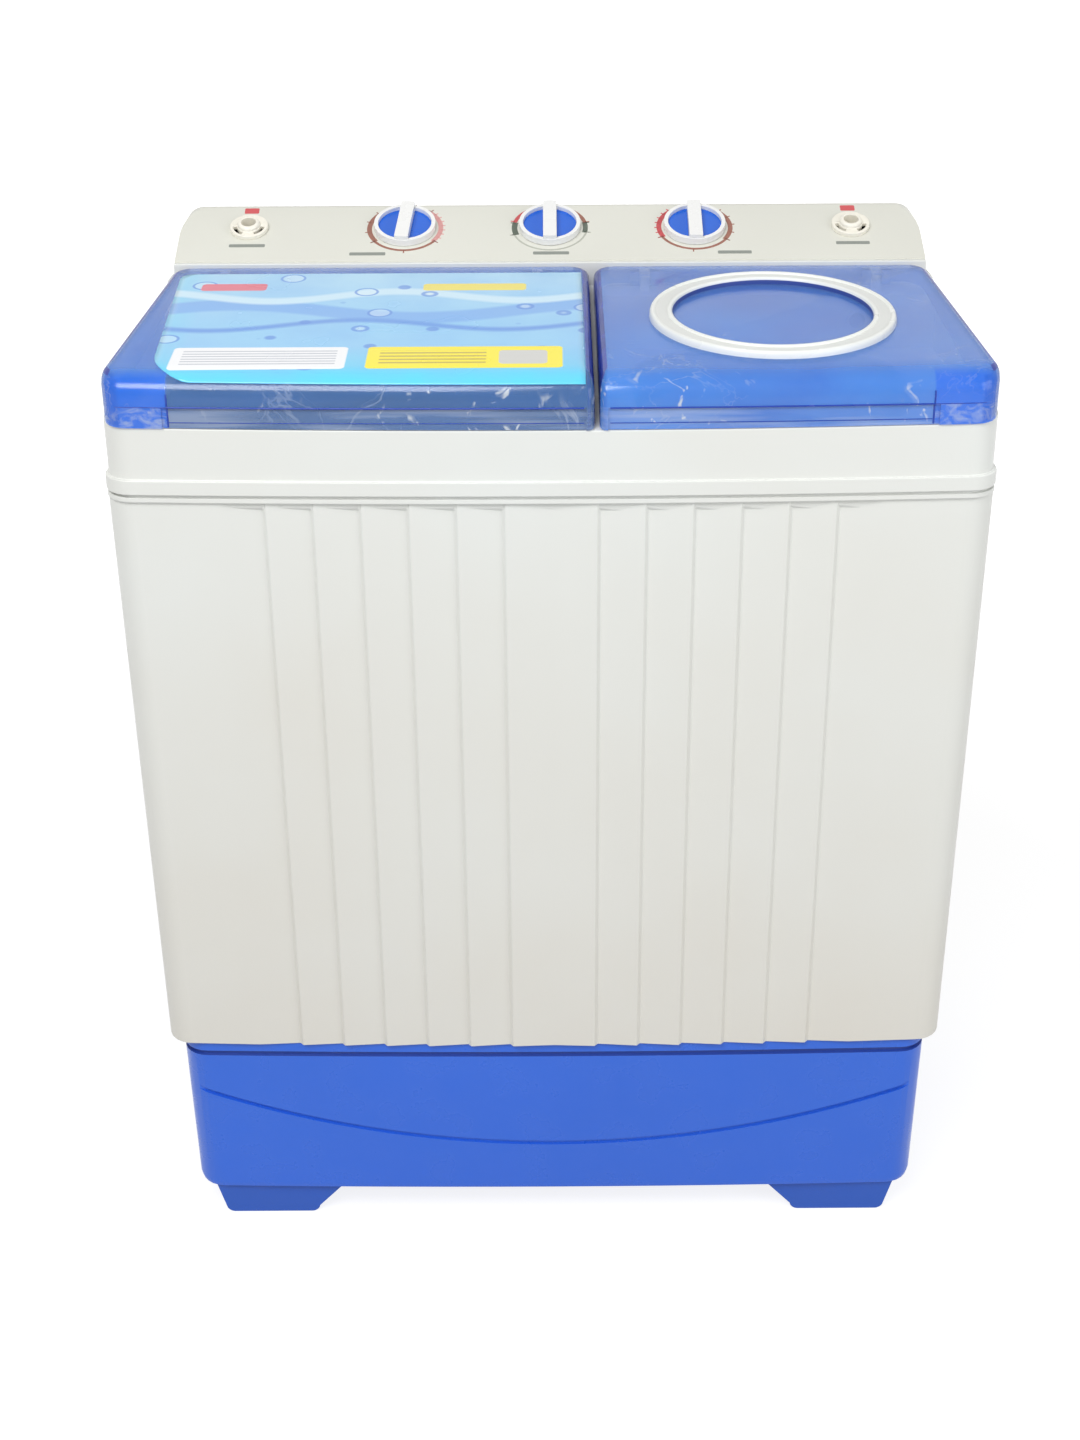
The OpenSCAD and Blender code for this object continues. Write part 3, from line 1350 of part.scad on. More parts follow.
module drain_plunger() {
    z0 = valve_z + shell_wall + push_gap;
    color(black) union() {
        translate([valve_x, valve_y, z0]) cylinder(r = pipe_r + 4, h = 8);
        translate([valve_x, valve_y, z0]) cylinder(r = rod_r, h = rod_top - z0);
        translate([valve_x - 4, valve_y - 4, rod_top - 5]) cube([-valve_x + 8, 8, 5]);
    }
}

module drain_pipe() {
    down = [valve_x, valve_y, drain_stub_z];
    out_y = y_rear - outlet_back;
    out = [valve_x, out_y, drain_stub_z];
    branch_z = pulley_z + branch_up;
    branch = [[spin_drain_x, spin_drain_y, tub_bottom_z], [spin_drain_x, spin_drain_y, branch_z],
        [spin_drain_x, valve_y, branch_z], [valve_x, valve_y, branch_z]];
    color(tub_white) difference() {
        union() {
            rod_along([[valve_x, valve_y, valve_z], down, out], pipe_r);
            rod_along(branch, branch_r);
            translate([valve_x, out_y - outlet_l, drain_stub_z]) rotate([-90, 0, 0])
                cylinder(r = outlet_r, h = outlet_l);
        }
        rod_along([[valve_x, valve_y, valve_z + 5], down, out + [0, 5, 0]], pipe_r - pipe_wall);
        rod_along([branch[0] + [0, 0, 5], branch[1], branch[2], branch[3]], branch_r - pipe_wall);
    }
}

module capacitor() {
    color(iron) translate([wash_x - capacitor_off[0], wash_y + capacitor_off[1], base_floor_z])
        cylinder(r = capacitor_r, h = capacitor_h);
}

module back_opening() {
    translate([back_x - back_w / 2 + 12, cab_rear_y - 20, back_z + 12])
        cube([back_w - 24, 40, back_h - 24]);
}

module screw_holes(r) {
    for (p = screw_places) translate([p[0], cab_rear_y - 20, p[1]]) rotate([-90, 0, 0])
        cylinder(r = r, h = 40);
}

module gland_hole(r) {
    translate([gland_x, cab_rear_y - 20, gland_z]) rotate([-90, 0, 0]) cylinder(r = r, h = 40);
}

module back_panel() {
    color(shell_white) difference() {
        translate([back_x - back_w / 2, cab_rear_y, back_z]) cube([back_w, shell_wall, back_h]);
        screw_holes(screw_r + push_gap);
        for (i = [-3:3], z = [60, 130]) translate([back_x + 22 * i - 4, cab_rear_y - 5, back_z + z])
            cube([8, 20, 40]);
    }
}

module back_screws() {
    color(steel) for (p = screw_places) translate([p[0], cab_rear_y - 6, p[1]]) rotate([-90, 0, 0])
        union() {
        cylinder(r = screw_r, h = 6 + shell_wall + 1);
        translate([0, 0, 6 + shell_wall]) difference() {
            cylinder(r = 4.2, h = 2.4);
            translate([-0.6, -3, 1.2]) cube([1.2, 6, 2]);
            translate([-3, -0.6, 1.2]) cube([6, 1.2, 2]);
        }
    }
}

module cord_gland() {
    color(black) translate([gland_x, cab_rear_y, gland_z]) rotate([-90, 0, 0]) difference() {
        union() {
            translate([0, 0, -6]) cylinder(r = gland_r, h = 8);
            cylinder(r = gland_r + 4, h = 3);
        }
        translate([0, 0, -10]) cylinder(r = cord_r, h = 20);
    }
}

cabinet();
base_tray();
feet();
top_frame();
control_panel();
wash_lid();
spin_lid();
spin_lid_ring();
wash_lid_pins();
spin_lid_pins();
wash_timer_knob();
drain_selector_knob();
spin_timer_knob();
wash_timer_inlay();
drain_selector_inlay();
spin_timer_inlay();
wash_timer_shaft();
drain_selector_shaft();
spin_timer_shaft();
wash_timer();
drain_selector();
spin_timer();
wash_inlet();
spin_inlet();
wash_fill_pipe();
spin_fill_pipe();
wash_tub();
spin_tub();
pulsator();
pulsator_bolt();
pulsator_shaft();
shaft_seal();
pulsator_bearing();
drive_pulley();
drive_belt();
wash_motor();
wash_motor_shaft();
motor_pulley();
motor_bracket();
lint_filter();
overflow_cover();
spin_basket();
basket_mat();
spin_shaft();
spin_seal();
spin_motor();
spin_motor_plate();
motor_dampers();
brake_drum();
brake_bracket();
brake_lever();
brake_cable();
lid_switch();
drain_valve_box();
drain_plunger();
drain_pipe();
capacitor();
back_panel();
back_screws();
cord_gland();
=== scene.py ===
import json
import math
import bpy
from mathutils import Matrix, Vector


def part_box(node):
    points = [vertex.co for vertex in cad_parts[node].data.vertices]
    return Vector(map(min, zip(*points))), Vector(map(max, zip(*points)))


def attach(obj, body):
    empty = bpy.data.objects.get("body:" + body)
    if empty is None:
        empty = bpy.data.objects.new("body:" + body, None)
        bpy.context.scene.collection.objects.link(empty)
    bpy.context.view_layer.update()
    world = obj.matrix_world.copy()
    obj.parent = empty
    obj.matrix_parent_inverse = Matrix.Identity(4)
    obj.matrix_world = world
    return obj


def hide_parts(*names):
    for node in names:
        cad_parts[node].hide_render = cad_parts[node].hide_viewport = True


bl_info = {
    "name": "Twin tub washer",
    "version": (1, 0, 0),
    "blender": (4, 5, 0),
    "location": "3D View > Sidebar > Washer",
    "description": "Finishes and printed details of a twin tub washer, and the stage it stands on",
    "category": "Object",
}

from functools import partial

import bmesh
import bpy
from mathutils import Euler, Matrix, Vector
from mathutils.bvhtree import BVHTree

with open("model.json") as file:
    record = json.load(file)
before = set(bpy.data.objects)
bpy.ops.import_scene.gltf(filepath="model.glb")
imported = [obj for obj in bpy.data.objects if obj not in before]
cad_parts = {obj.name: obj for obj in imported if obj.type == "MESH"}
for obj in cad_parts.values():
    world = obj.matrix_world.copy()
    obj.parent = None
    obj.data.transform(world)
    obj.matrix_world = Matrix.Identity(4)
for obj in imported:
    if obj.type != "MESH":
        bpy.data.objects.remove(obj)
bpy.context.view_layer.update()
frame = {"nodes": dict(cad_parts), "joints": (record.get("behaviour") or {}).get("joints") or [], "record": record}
NODES = frame["nodes"]
JOINTS = {joint["name"]: joint for joint in frame["joints"]}
MOUNTS = {mount["name"]: mount for mount in frame["record"]["mounts"]}
BODIES = frame["record"]["behaviour"]["bodies"]
BODY_OF = {node: body for body, members in BODIES.items() for node in members}
SLOT_OF = {part["node"]: part["material_slot"] for part in frame["record"]["subparts"]}

# Lengths in metres
MM = 0.001
WELD = 0.000004
PROBE_REACH = 5.0
FLOOR_REACH = 25.0
FLOOR_FADE = (0.8, 3.0)
LOW_SHADE_HEIGHTS = (0.2, 0.75)
LID_FRONT = 0.02
LID_FRONT_SOFT = 0.005
GLINT_REACH = (0.004, 0.03)
RING_SLICE = 0.02
PRINT_CORNER = 0.001
INLET_MARK = (-0.0065, 0.0235, 0.0065, 0.0315)

# Counts, angles and shares
BEAD_SIDES = 8
PRINT_CORNER_STEPS = 3
STROKE_DEGREES = 3.0
STROKE_OVERLAP = 1.12
SIDE_WALL_X = 0.15
SIDE_WALL_Y = -0.35
LID_OPACITY = 0.52
LID_EDGE_OPACITY = 0.85
LOW_SHADE_SHARE = 0.65
SHEET_SEAT = 0.2
RING_WALL = 0.6
GLOSS_WEAR = 0.07
WHITE = (1.0, 1.0, 1.0)


def tone(red, green, blue):
    """Linear colour of a screen colour given in steps of 0 to 255."""

    def linear(step):
        share = step / 255.0
        return share / 12.92 if share <= 0.04045 else ((share + 0.055) / 1.055) ** 2.4

    return linear(red), linear(green), linear(blue)


def paint(name, description, *screen):
    """Colour setting with a screen colour as its default."""
    return bpy.props.FloatVectorProperty(
        name=name, description=description, subtype="COLOR", min=0.0, max=1.0, default=tone(*screen)
    )


def number(name, description, default, **more):
    """Plain number setting."""
    return bpy.props.FloatProperty(name=name, description=description, default=default, **more)


def size(name, description, default):
    """Length setting in metres."""
    return number(name, description, default, min=0.0, precision=5, subtype="DISTANCE", unit="LENGTH")


def turn(name, description, degrees):
    """Angle setting."""
    return number(name, description, math.radians(degrees), subtype="ANGLE", unit="ROTATION")


class WasherColours(bpy.types.PropertyGroup):
    """Colours of the mouldings, prints and inner pieces"""

    shell: paint("Shell white", "Cabinet and top frame", 226, 229, 226)
    # Painted shade: the darker, warmer tint the shell takes low down, where less light falls
    shell_warm: paint("Shell warm", "Warmer tint of the shell near its foot", 219, 215, 205)
    panel: paint("Panel grey", "Control panel", 222, 222, 212)
    base: paint("Base blue", "Base tray", 42, 103, 218)
    groove: paint("Groove blue", "Shaded groove round the base tray", 22, 58, 150)
    foot: paint("Foot blue", "Feet", 36, 88, 186)
    lid: paint("Lid blue", "Clear blue plastic of the lids", 66, 142, 255)
    # Partly the film's haze, partly painted shade of the dark inside seen through the wash lid's front
    lid_dull: paint("Lid dull", "Duller blue of the wash lid's front under its film", 70, 116, 176)
    lid_deep: paint("Lid deep", "Deeper blue at the outer front corners of the lids", 0, 122, 255)
    # Painted shade: the dark look of the lids' side walls
    lid_edge: paint("Lid edge", "Dark side walls of the lids", 40, 62, 160)
    # Partly the film's whitish creases, partly painted highlights and reflections on the lids
    crease: paint("Film crease", "Pale creases of the clear film on the lids", 206, 222, 248)
    # Painted highlights: bright flecks where the film catches light near the lids' front
    fleck: paint("Film fleck", "Bright flecks of the film at the front of the lids", 238, 246, 255)
    # Painted shade: dark beads and lines standing for dark edge lines on the lids' front
    bead: paint("Lid bead", "Dark bead round the finger strips of the lids", 22, 62, 168)
    ring: paint("Ring", "Ring on the spin lid", 238, 240, 236)
    ring_channel: paint("Ring channel", "Channel between the rims of the ring", 224, 226, 222)
    ring_inside: paint("Ring inside", "Inner wall of the ring, in the shade of the lid", 58, 78, 148)
    knob: paint("Knob white", "Dials", 240, 240, 238)
    inlay: paint("Inlay blue", "Half moons of the dials", 16, 98, 212)
    inlet: paint("Inlet cream", "Water inlets", 243, 239, 226)
    print_red: paint("Print red", "Red print on the panel", 204, 84, 88)
    print_pink: paint("Print pink", "Pale red print on the panel", 220, 160, 157)
    print_brown: paint("Print brown", "Brown print on the panel", 160, 108, 92)
    print_green: paint("Print green", "Dark green print on the panel", 96, 106, 94)
    print_grey: paint("Print grey", "Faint grey print on the panel", 182, 184, 172)
    print_dark: paint("Print dark", "Dark grey bars under the dials and inlets", 138, 143, 136)
    tub: paint("Tub white", "Tubs, basket and pipes", 226, 231, 233)
    timer: paint("Timer body", "Bodies behind the panel", 214, 204, 178)
    steel: paint("Steel", "Shafts, pins and plates", 182, 184, 188)
    motor: paint("Motor grey", "Painted motor housings", 92, 96, 102)
    cast: paint("Cast metal", "Pulleys, drum and bearing housing", 150, 152, 156)
    rubber: paint("Rubber", "Belt, seals, dampers and gland", 30, 30, 32)


class WasherSizes(bpy.types.PropertyGroup):
    """Sizes of the edges, the prints and the label"""

    edge: size("Edge round", "Rounding of sharp moulded edges", 0.0007)
    ink: size("Ink height", "Height of the printed lines over their surface", 0.00012)
    scale_radius: size("Scale radius", "Outer radius of the printed scale round a dial", 0.0342)
    tick_length: size("Tick length", "Length of a tick on a scale", 0.0042)
    tick_width: size("Tick width", "Width of a tick on a scale", 0.0012)
    label_lift: size("Label thickness", "Thickness of the printed label sheet", 0.0002)
    label_left: size("Label left", "From the middle plane to the label's left rear corner", 0.321)
    label_taper: size("Label taper", "How much the label narrows from its rear to its front", 0.011)
    label_right: size("Label right", "From the middle plane to the label's right edge", 0.027)
    label_in: size("Label inset", "From the lid's front to the label's front edge", 0.005)
    label_rear: size("Label rear", "From the middle plane to the label's rear edge", 0.067)
    label_corner: size("Label corner", "Width of the label's rounded front left corner", 0.030)
    label_corner_deep: size("Label corner depth", "Depth of the label's rounded front left corner", 0.044)
    label_corner_rear: size("Label rear corner", "Radius of the label's rear left corner", 0.012)
    bead: size("Lid bead", "Width of the dark bead round the finger strip of a lid", 0.0014)
    lid_line: size("Lid line", "Width of the fine lines on the front of a lid", 0.0007)
    lid_corner: size("Lid corner", "From the middle plane to the end of a lid's corner line", 0.338)
    rim_up: size("Rim height", "Height of the fine rim line over a lid's foot", 0.0055)
    post_foot: size("Post foot", "Height of the upright bead's foot over its lid's foot", 0.002)
    post_up: size("Post height", "Height of the upright bead at a finger strip's outer end", 0.0285)
    strip_side: size("Strip side", "From the middle plane to a finger strip's outer end", 0.2975)
    strip_inset: size("Strip inset", "From a lid's edge to its finger strip's inner end", 0.008)
    strip_up: size("Strip height", "Height of a finger strip over its lid's foot", 0.018)
    ring_rim: size("Ring rim", "Width of the two raised rims of the lid ring", 0.0042)
    ring_channel: size("Ring channel", "Depth of the channel between the rims of the lid ring", 0.0016)
    ring_lean: size("Ring lean", "Width of the leaning outer side of the lid ring", 0.0025)
    groove_low: size("Groove bottom", "Height of the lower edge of the groove round the base", 0.1845)
    groove_high: size("Groove top", "Height of the upper edge of the groove round the base", 0.1905)
    back_margin: size("Back margin", "Reach round the back panel in which edges stay sharp", 0.02)
    bar_half: size("Bar half height", "Half the height of a printed bar on the panel", 0.0022)


class WasherStage(bpy.types.PropertyGroup):
    """Camera, floor and lights"""

    floor: paint("Floor", "Pale floor", 214, 214, 214)
    floor_share: number("Floor white", "Share of plain white in the floor in view", 0.6, min=0.0, max=1.0)
    floor_glow: number("Floor level", "Level of that plain white", 1.4, min=0.0)
    camera_back: size("Camera distance", "How far the camera stands in front of the middle", 1.7454)
    camera_up: size("Camera height", "Height of the camera", 1.3096)
    camera_pitch: turn("Camera pitch", "How far the camera looks down", 26.5)
    camera_roll: turn("Camera roll", "How far the camera leans", 0.3)
    lens: number("Lens", "Focal length on a 36 mm frame", 52.5, min=1.0)
    shift: number("Shift", "Sideways shift of the frame", -0.0086)
    world_light: number("World light", "Strength of the even light", 0.44, min=0.0)
    key_power: number("Key light", "Power of the main lamp in watts", 62.0, min=0.0)
    fill_power: number("Fill light", "Power of the second lamp in watts", 18.0, min=0.0)


GROUPS = {"washer_colours": WasherColours, "washer_sizes": WasherSizes, "washer_stage": WasherStage}


def settings():
    """Colours, sizes and stage settings of the scene."""
    return [getattr(bpy.context.scene, name) for name in GROUPS]


def feed(tree, socket, value):
    """Links a socket to another one, or sets its value or colour."""
    if isinstance(value, bpy.types.NodeSocket):
        tree.links.new(value, socket)
    elif value is not None:
        socket.default_value = (*value, 1.0) if socket.type == "RGBA" else value


def add_node(tree, kind, inputs=(), **values):
    """New node with these values, and with its inputs, by name or in order, linked or set."""
    node = tree.nodes.new(kind)
    for key, value in values.items():
        setattr(node, key, value)
    for key, value in inputs.items() if isinstance(inputs, dict) else enumerate(inputs):
        feed(tree, node.inputs[key], value)
    return node


def made(tree, kind, inputs=(), **values):
    """First output of a new node."""
    return add_node(tree, kind, inputs, **values).outputs[0]


class Finish:
    """A material under construction, with short calls for its nodes."""

    def __init__(self, name):
        self.material = bpy.data.materials.new(name)
        self.material.use_nodes = True
        self.tree = self.material.node_tree
        self.tree.nodes.clear()
        self.made = partial(made, self.tree)
        self.bsdf = add_node(self.tree, "ShaderNodeBsdfPrincipled")
        self.out = add_node(self.tree, "ShaderNodeOutputMaterial", (self.bsdf.outputs[0],))

    def place(self, stretch=(1.0, 1.0, 1.0), turned=(0.0, 0.0, 0.0), kind="Object"):
        """Coordinates on the piece, stretched and turned."""
        coords = add_node(self.tree, "ShaderNodeTexCoord").outputs[kind]
        return self.made("ShaderNodeMapping", {"Vector": coords, "Scale": stretch, "Rotation": turned})

    def axes(self, vector):
        """The three numbers of a vector, by their letters."""
        return add_node(self.tree, "ShaderNodeSeparateXYZ", (vector,)).outputs

    def noise(self, vector, scale, detail=2.0, rough=0.5, distortion=0.0):
        given = {"Vector": vector, "Scale": scale, "Detail": detail}
        given.update(Roughness=rough, Distortion=distortion)
        return self.made("ShaderNodeTexNoise", given)

    def spread(self, value, low=0.0, high=1.0, from_low=0.3, from_high=0.7):
        """The value taken from one range to another."""
        given = {"Value": value, "From Min": from_low, "From Max": from_high, "To Min": low, "To Max": high}
        return self.made("ShaderNodeMapRange", given, clamp=True)

    def mix(self, factor, first, second):
        """Colour between two colours."""
        node = add_node(self.tree, "ShaderNodeMix", data_type="RGBA")
        share = next(s for s in node.inputs if s.type == "VALUE")
        sockets = [share, *(s for s in node.inputs if s.type == "RGBA")]
        for socket, value in zip(sockets, (factor, first, second)):
            feed(self.tree, socket, value)
        return next(s for s in node.outputs if s.type == "RGBA")

    def math(self, operation, *values):
        return self.made("ShaderNodeMath", values, operation=operation)

    def meet(self, first, *others):
        """Mask where all of these masks meet."""
        for other in others:
            first = self.math("MULTIPLY", first, other)
        return first

    def bump(self, height, depth, strength, after=None):
        """Surface relief of a depth in metres."""
        given = {"Strength": strength, "Distance": depth, "Height": height, "Normal": after}
        return self.made("ShaderNodeBump", given)

    def shader(self, **values):
        for name, value in values.items():
            feed(self.tree, self.bsdf.inputs[name.replace("_", " ").title()], value)
        return self.material


def shade(color, factor):
    """The colour made lighter or darker, kept under white."""
    return tuple(min(channel * factor, 0.98) for channel in color)


def moulded(name, color, rough, low_shade=None, grain=700.0, depth=0.00006):
    """Moulded plastic with a fine skin, uneven gloss and a drifting tint; a given low_shade colour paints shade
    over it low down.
    """
    finish = Finish(name)
    at = finish.place()
    cloud = finish.spread(finish.noise(at, 3.5, 3.0))
    # Painted shade: below 0.75 m the tint moves more and more towards the low_shade colour, down to 0.2 m
    if low_shade:
        fall = finish.spread(finish.axes(at)["Z"], 1.0, 0.0, *LOW_SHADE_HEIGHTS)
        cloud = finish.math("MULTIPLY", cloud, 1.0 - LOW_SHADE_SHARE)
        cloud = finish.math("MULTIPLY_ADD", fall, LOW_SHADE_SHARE, cloud)
    tint = finish.mix(cloud, shade(color, 1.02), low_shade or shade(color, 0.95))
    gloss = finish.spread(finish.noise(at, 28.0, 4.0), rough - GLOSS_WEAR, rough + GLOSS_WEAR)
    skin = finish.noise(at, grain, 2.0, 0.6)
    return finish.shader(base_color=tint, roughness=gloss, normal=finish.bump(skin, depth, 0.5))


def patterned(name, tints, pattern, glosses, relief=None, dull=None, along=(1.0, 1.0, 1.0), **more):
    """Finish whose tint, gloss and relief follow one noise; a second noise may lead the gloss."""
    finish = Finish(name)
    noise = finish.noise(finish.place(along), *pattern)
    patches = finish.noise(finish.place(), *dull) if dull else noise
    if relief:
        more["normal"] = finish.bump(noise, *relief)
    tint = finish.mix(finish.spread(noise), *tints)
    return finish.shader(base_color=tint, roughness=finish.spread(patches, *glosses), **more)


def shades(color, dark, light):
    """A darker and a lighter shade of a colour."""
    return shade(color, dark), shade(color, light)


def brushed(name, color):
    """Steel with fine drawn lines."""
    drawn, dull = (90.0, 4.0, 0.7), (14.0, 3.0)
    tints = shades(color, 0.86, 1.08)
    return patterned(name, tints, drawn, (0.24, 0.42), (0.00004, 0.4), dull, (1.0, 1.0, 40.0), metallic=1.0)


def cast(name, color):
    """Cast metal with a sandy skin."""
    sand, tints = (420.0, 4.0, 0.7), shades(color, 0.82, 1.06)
    return patterned(name, tints, sand, (0.42, 0.6), (0.00015, 0.5), (30.0,), metallic=0.9)


def rubbery(name, color):
    """Matt rubber with dusty patches."""
    dusty = tuple(c * 1.9 + 0.004 for c in color)
    return patterned(name, (color, dusty), (60.0, 5.0, 0.65), (0.62, 0.85), (0.0001, 0.4))


def printed(name, color):
    """Screen print with slightly broken ink."""
    tints = shades(color, 0.9, 1.14)
    return patterned(name, tints, (1500.0, 3.0, 0.7), (0.38, 0.52), (0.00002, 0.3))


def clear_side_shade(name, color):
    """See-through plastic of a side wall, in a dark tint that is painted shade, with a slow random change of tint.
    """
    tints = shades(color, 0.8, 1.3)
    return patterned(name, tints, (30.0, 3.0), (0.08, 0.2), dull=(18.0, 3.0), alpha=LID_EDGE_OPACITY)


def clear_plastic(name, colours, front, side, strip_z, dull):
    """See-through tinted plastic in a creased film, with a deeper outer corner, painted highlights on its creases
    and near its front, painted reflection streaks on its finger strip, and on the wash lid a duller front that is
    partly film haze, partly painted shade.
    """
    finish = Finish(name)
    at = finish.place()
    axes = finish.axes(at)

    def below(value, edge, soft=MM):
        """Mask of the values under an edge."""
        return finish.spread(value, 1.0, 0.0, edge - soft, edge + soft)

    cloud = finish.spread(finish.noise(at, 9.0, 4.0, 0.55, 0.6))
    tint = finish.mix(cloud, *shades(colours.lid, 0.86, 1.2))
    out = finish.math("MULTIPLY", axes["X"], math.copysign(1.0, side))
    inside = below(out, abs(side))
    outside = finish.math("SUBTRACT", 1.0, inside)
    fall = below(axes["Y"], front + LID_FRONT, LID_FRONT_SOFT)
    tint = finish.mix(finish.meet(outside, fall), tint, colours.lid_deep)
    brow = finish.meet(inside, fall)
    # Partly film haze, partly painted shade: streaks of duller blue on the wash lid's front
    if dull:
        streak = finish.spread(finish.noise(finish.place((0.12, 1.0, 1.0)), 70.0, 3.0), 0.75, 1.0)
        tint = finish.mix(finish.meet(streak, brow), tint, colours.lid_dull)
    # Painted reflection: pale horizontal streaks low on the finger strip
    strip_reflection = finish.spread(finish.noise(finish.place((0.06, 1.0, 1.0)), 130.0), 0.1, 0.5, 0.45, 0.65)
    low = below(axes["Z"], strip_z)
    tint = finish.mix(finish.meet(strip_reflection, low, brow), tint, colours.crease)
    # Painted highlights: pale crinkles of the film at the outer corners, below the finger strip's top
    crinkle = finish.noise(finish.place((1.0, 1.0, 1.6)), 60.0, 4.0, 0.6, 1.4)
    film = finish.spread(crinkle, 0.0, 0.75, 0.46, 0.7)
    tint = finish.mix(finish.meet(film, low, outside), tint, colours.crease)
    # Partly the film's whitish creases, partly painted highlights along them; the creases also carry a bump
    fold = finish.noise(finish.place((1.0, 1.5, 1.0)), 13.0, 4.0, 0.55, 1.1)
    line = finish.spread(finish.math("ABSOLUTE", finish.math("SUBTRACT", fold, 0.5)), 1.0, 0.0, 0.0, 0.012)
    line = finish.meet(line, finish.spread(finish.noise(at, 9.0), 0.0, 1.0, 0.52, 0.66))
    tint = finish.mix(finish.meet(line, 0.6), tint, colours.crease)
    # Painted highlights: bright flecks on the film near the lids' front
    spark = finish.noise(finish.place((1.0, 1.0, 0.8), (0.0, 0.4, 0.5)), 75.0, 2.0, 0.5, 0.9)
    patch = finish.spread(finish.noise(at, 14.0), 0.0, 1.0, 0.5, 0.58)
    near = finish.spread(axes["Y"], 1.0, 0.0, *(front + reach for reach in GLINT_REACH))
    fleck = finish.meet(finish.spread(spark, 0.0, 1.0, 0.64, 0.72), patch, near)
    tint = finish.mix(fleck, tint, colours.fleck)
    wave = finish.bump(finish.noise(at, 20.0, 2.0, 0.5, 0.8), 0.001, 0.3)
    return finish.shader(
        base_color=tint,
        roughness=finish.spread(finish.noise(at, 18.0, 3.0), 0.05, 0.18),
        alpha=LID_OPACITY,
        normal=finish.bump(line, 0.0004, 0.6, wave),
        coat_weight=0.6,
        coat_roughness=0.2,
    )


def finish_piece(mesh, node, *materials):
    """New object of the mesh's name on the body of a CAD node, with these finishes."""
    piece = bpy.data.objects.new(mesh.name, mesh)
    bpy.context.scene.collection.objects.link(piece)
    for material in materials:
        mesh.materials.append(material)
    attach(piece, BODY_OF[node])
    return piece


def meshed(build, name):
    """Mesh of what was built."""
    mesh = bpy.data.meshes.new(name)
    build.to_mesh(mesh)
    build.free()
    return mesh


def skin(node, material, name, crease=32.0, edge=0.0, plain=None):
    """Piece that stands for a CAD node, with smooth curves and with rounded edges outside a box."""
    build = bmesh.new()
    build.from_mesh(NODES[node].data)
    bmesh.ops.remove_doubles(build, verts=build.verts, dist=WELD)
    for face in build.faces:
        face.smooth = True
    limit = math.radians(crease)
    weights = build.edges.layers.float.new("bevel_weight_edge")
    low, high = plain or ((1.0, 1.0, 1.0), (0.0, 0.0, 0.0))
    for rim in build.edges:
        rim.smooth = len(rim.link_faces) == 2 and rim.calc_face_angle() < limit
        covered = all(low[i] <= v.co[i] <= high[i] for v in rim.verts for i in range(3))
        rim[weights] = float(not rim.smooth and not covered)
    mesh = meshed(build, name)
    for layer in [a for a in mesh.attributes if a.name == "custom_normal"]:
        mesh.attributes.remove(layer)
    piece = finish_piece(mesh, node, material)
    if edge:
        bevel = piece.modifiers.new("edge_round", "BEVEL")
        bevel.limit_method = "WEIGHT"
        bevel.width = edge
        bevel.segments = 2
        bevel.use_clamp_overlap = True
        weighted = piece.modifiers.new("face_weight", "WEIGHTED_NORMAL")
        weighted.keep_sharp = True
    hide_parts(node)
    return piece


def probe(node, way):
    """Function that gives the first point of a CAD node on a line through a place."""
    mesh = NODES[node].data
    tree = BVHTree.FromPolygons([v.co for v in mesh.vertices], [tuple(p.vertices) for p in mesh.polygons])

    def point(place):
        hit = tree.ray_cast(Vector(place) - PROBE_REACH * Vector(way), Vector(way))
        if hit[0] is None:
            raise RuntimeError(f"nothing of {node} lies along {way} at {place}")
        return hit[0]

    return point


def surface_of(node):
    """Function that gives the height of the top of a CAD node at a place."""
    point = probe(node, (0.0, 0.0, -1.0))
    return lambda x, y: point((x, y, 0.0)).z


def front_of(node):
    """Function that gives the point on the front of a CAD node at a place across and up."""
    point = probe(node, (0.0, 1.0, 0.0))
    return lambda x, z: point((x, 0.0, z))


def dial_place(joint, up=0.0):
    """Matrix with x across the panel, y up its slope and z out of it, at a height over a dial's middle."""
    out = -Vector(JOINTS[joint]["axis"]).normalized()
    across = Vector((1.0, 0.0, 0.0))
    place = Matrix((across, out.cross(across), out)).transposed().to_4x4()
    place.translation = Vector(JOINTS[joint]["pos_m"]) + up * out
    return place


def grow_tree(name, inputs):
    """Geometry node tree with these inputs, the call that adds nodes to it, and the sockets of its inputs."""
    tree = bpy.data.node_groups.new(name, "GeometryNodeTree")
    tree.is_modifier = True
    for key, kind in inputs.items():
        tree.interface.new_socket(key, in_out="INPUT", socket_type="NodeSocket" + kind)
    tree.interface.new_socket("Geometry", in_out="OUTPUT", socket_type="NodeSocketGeometry")
    return tree, partial(made, tree), add_node(tree, "NodeGroupInput").outputs


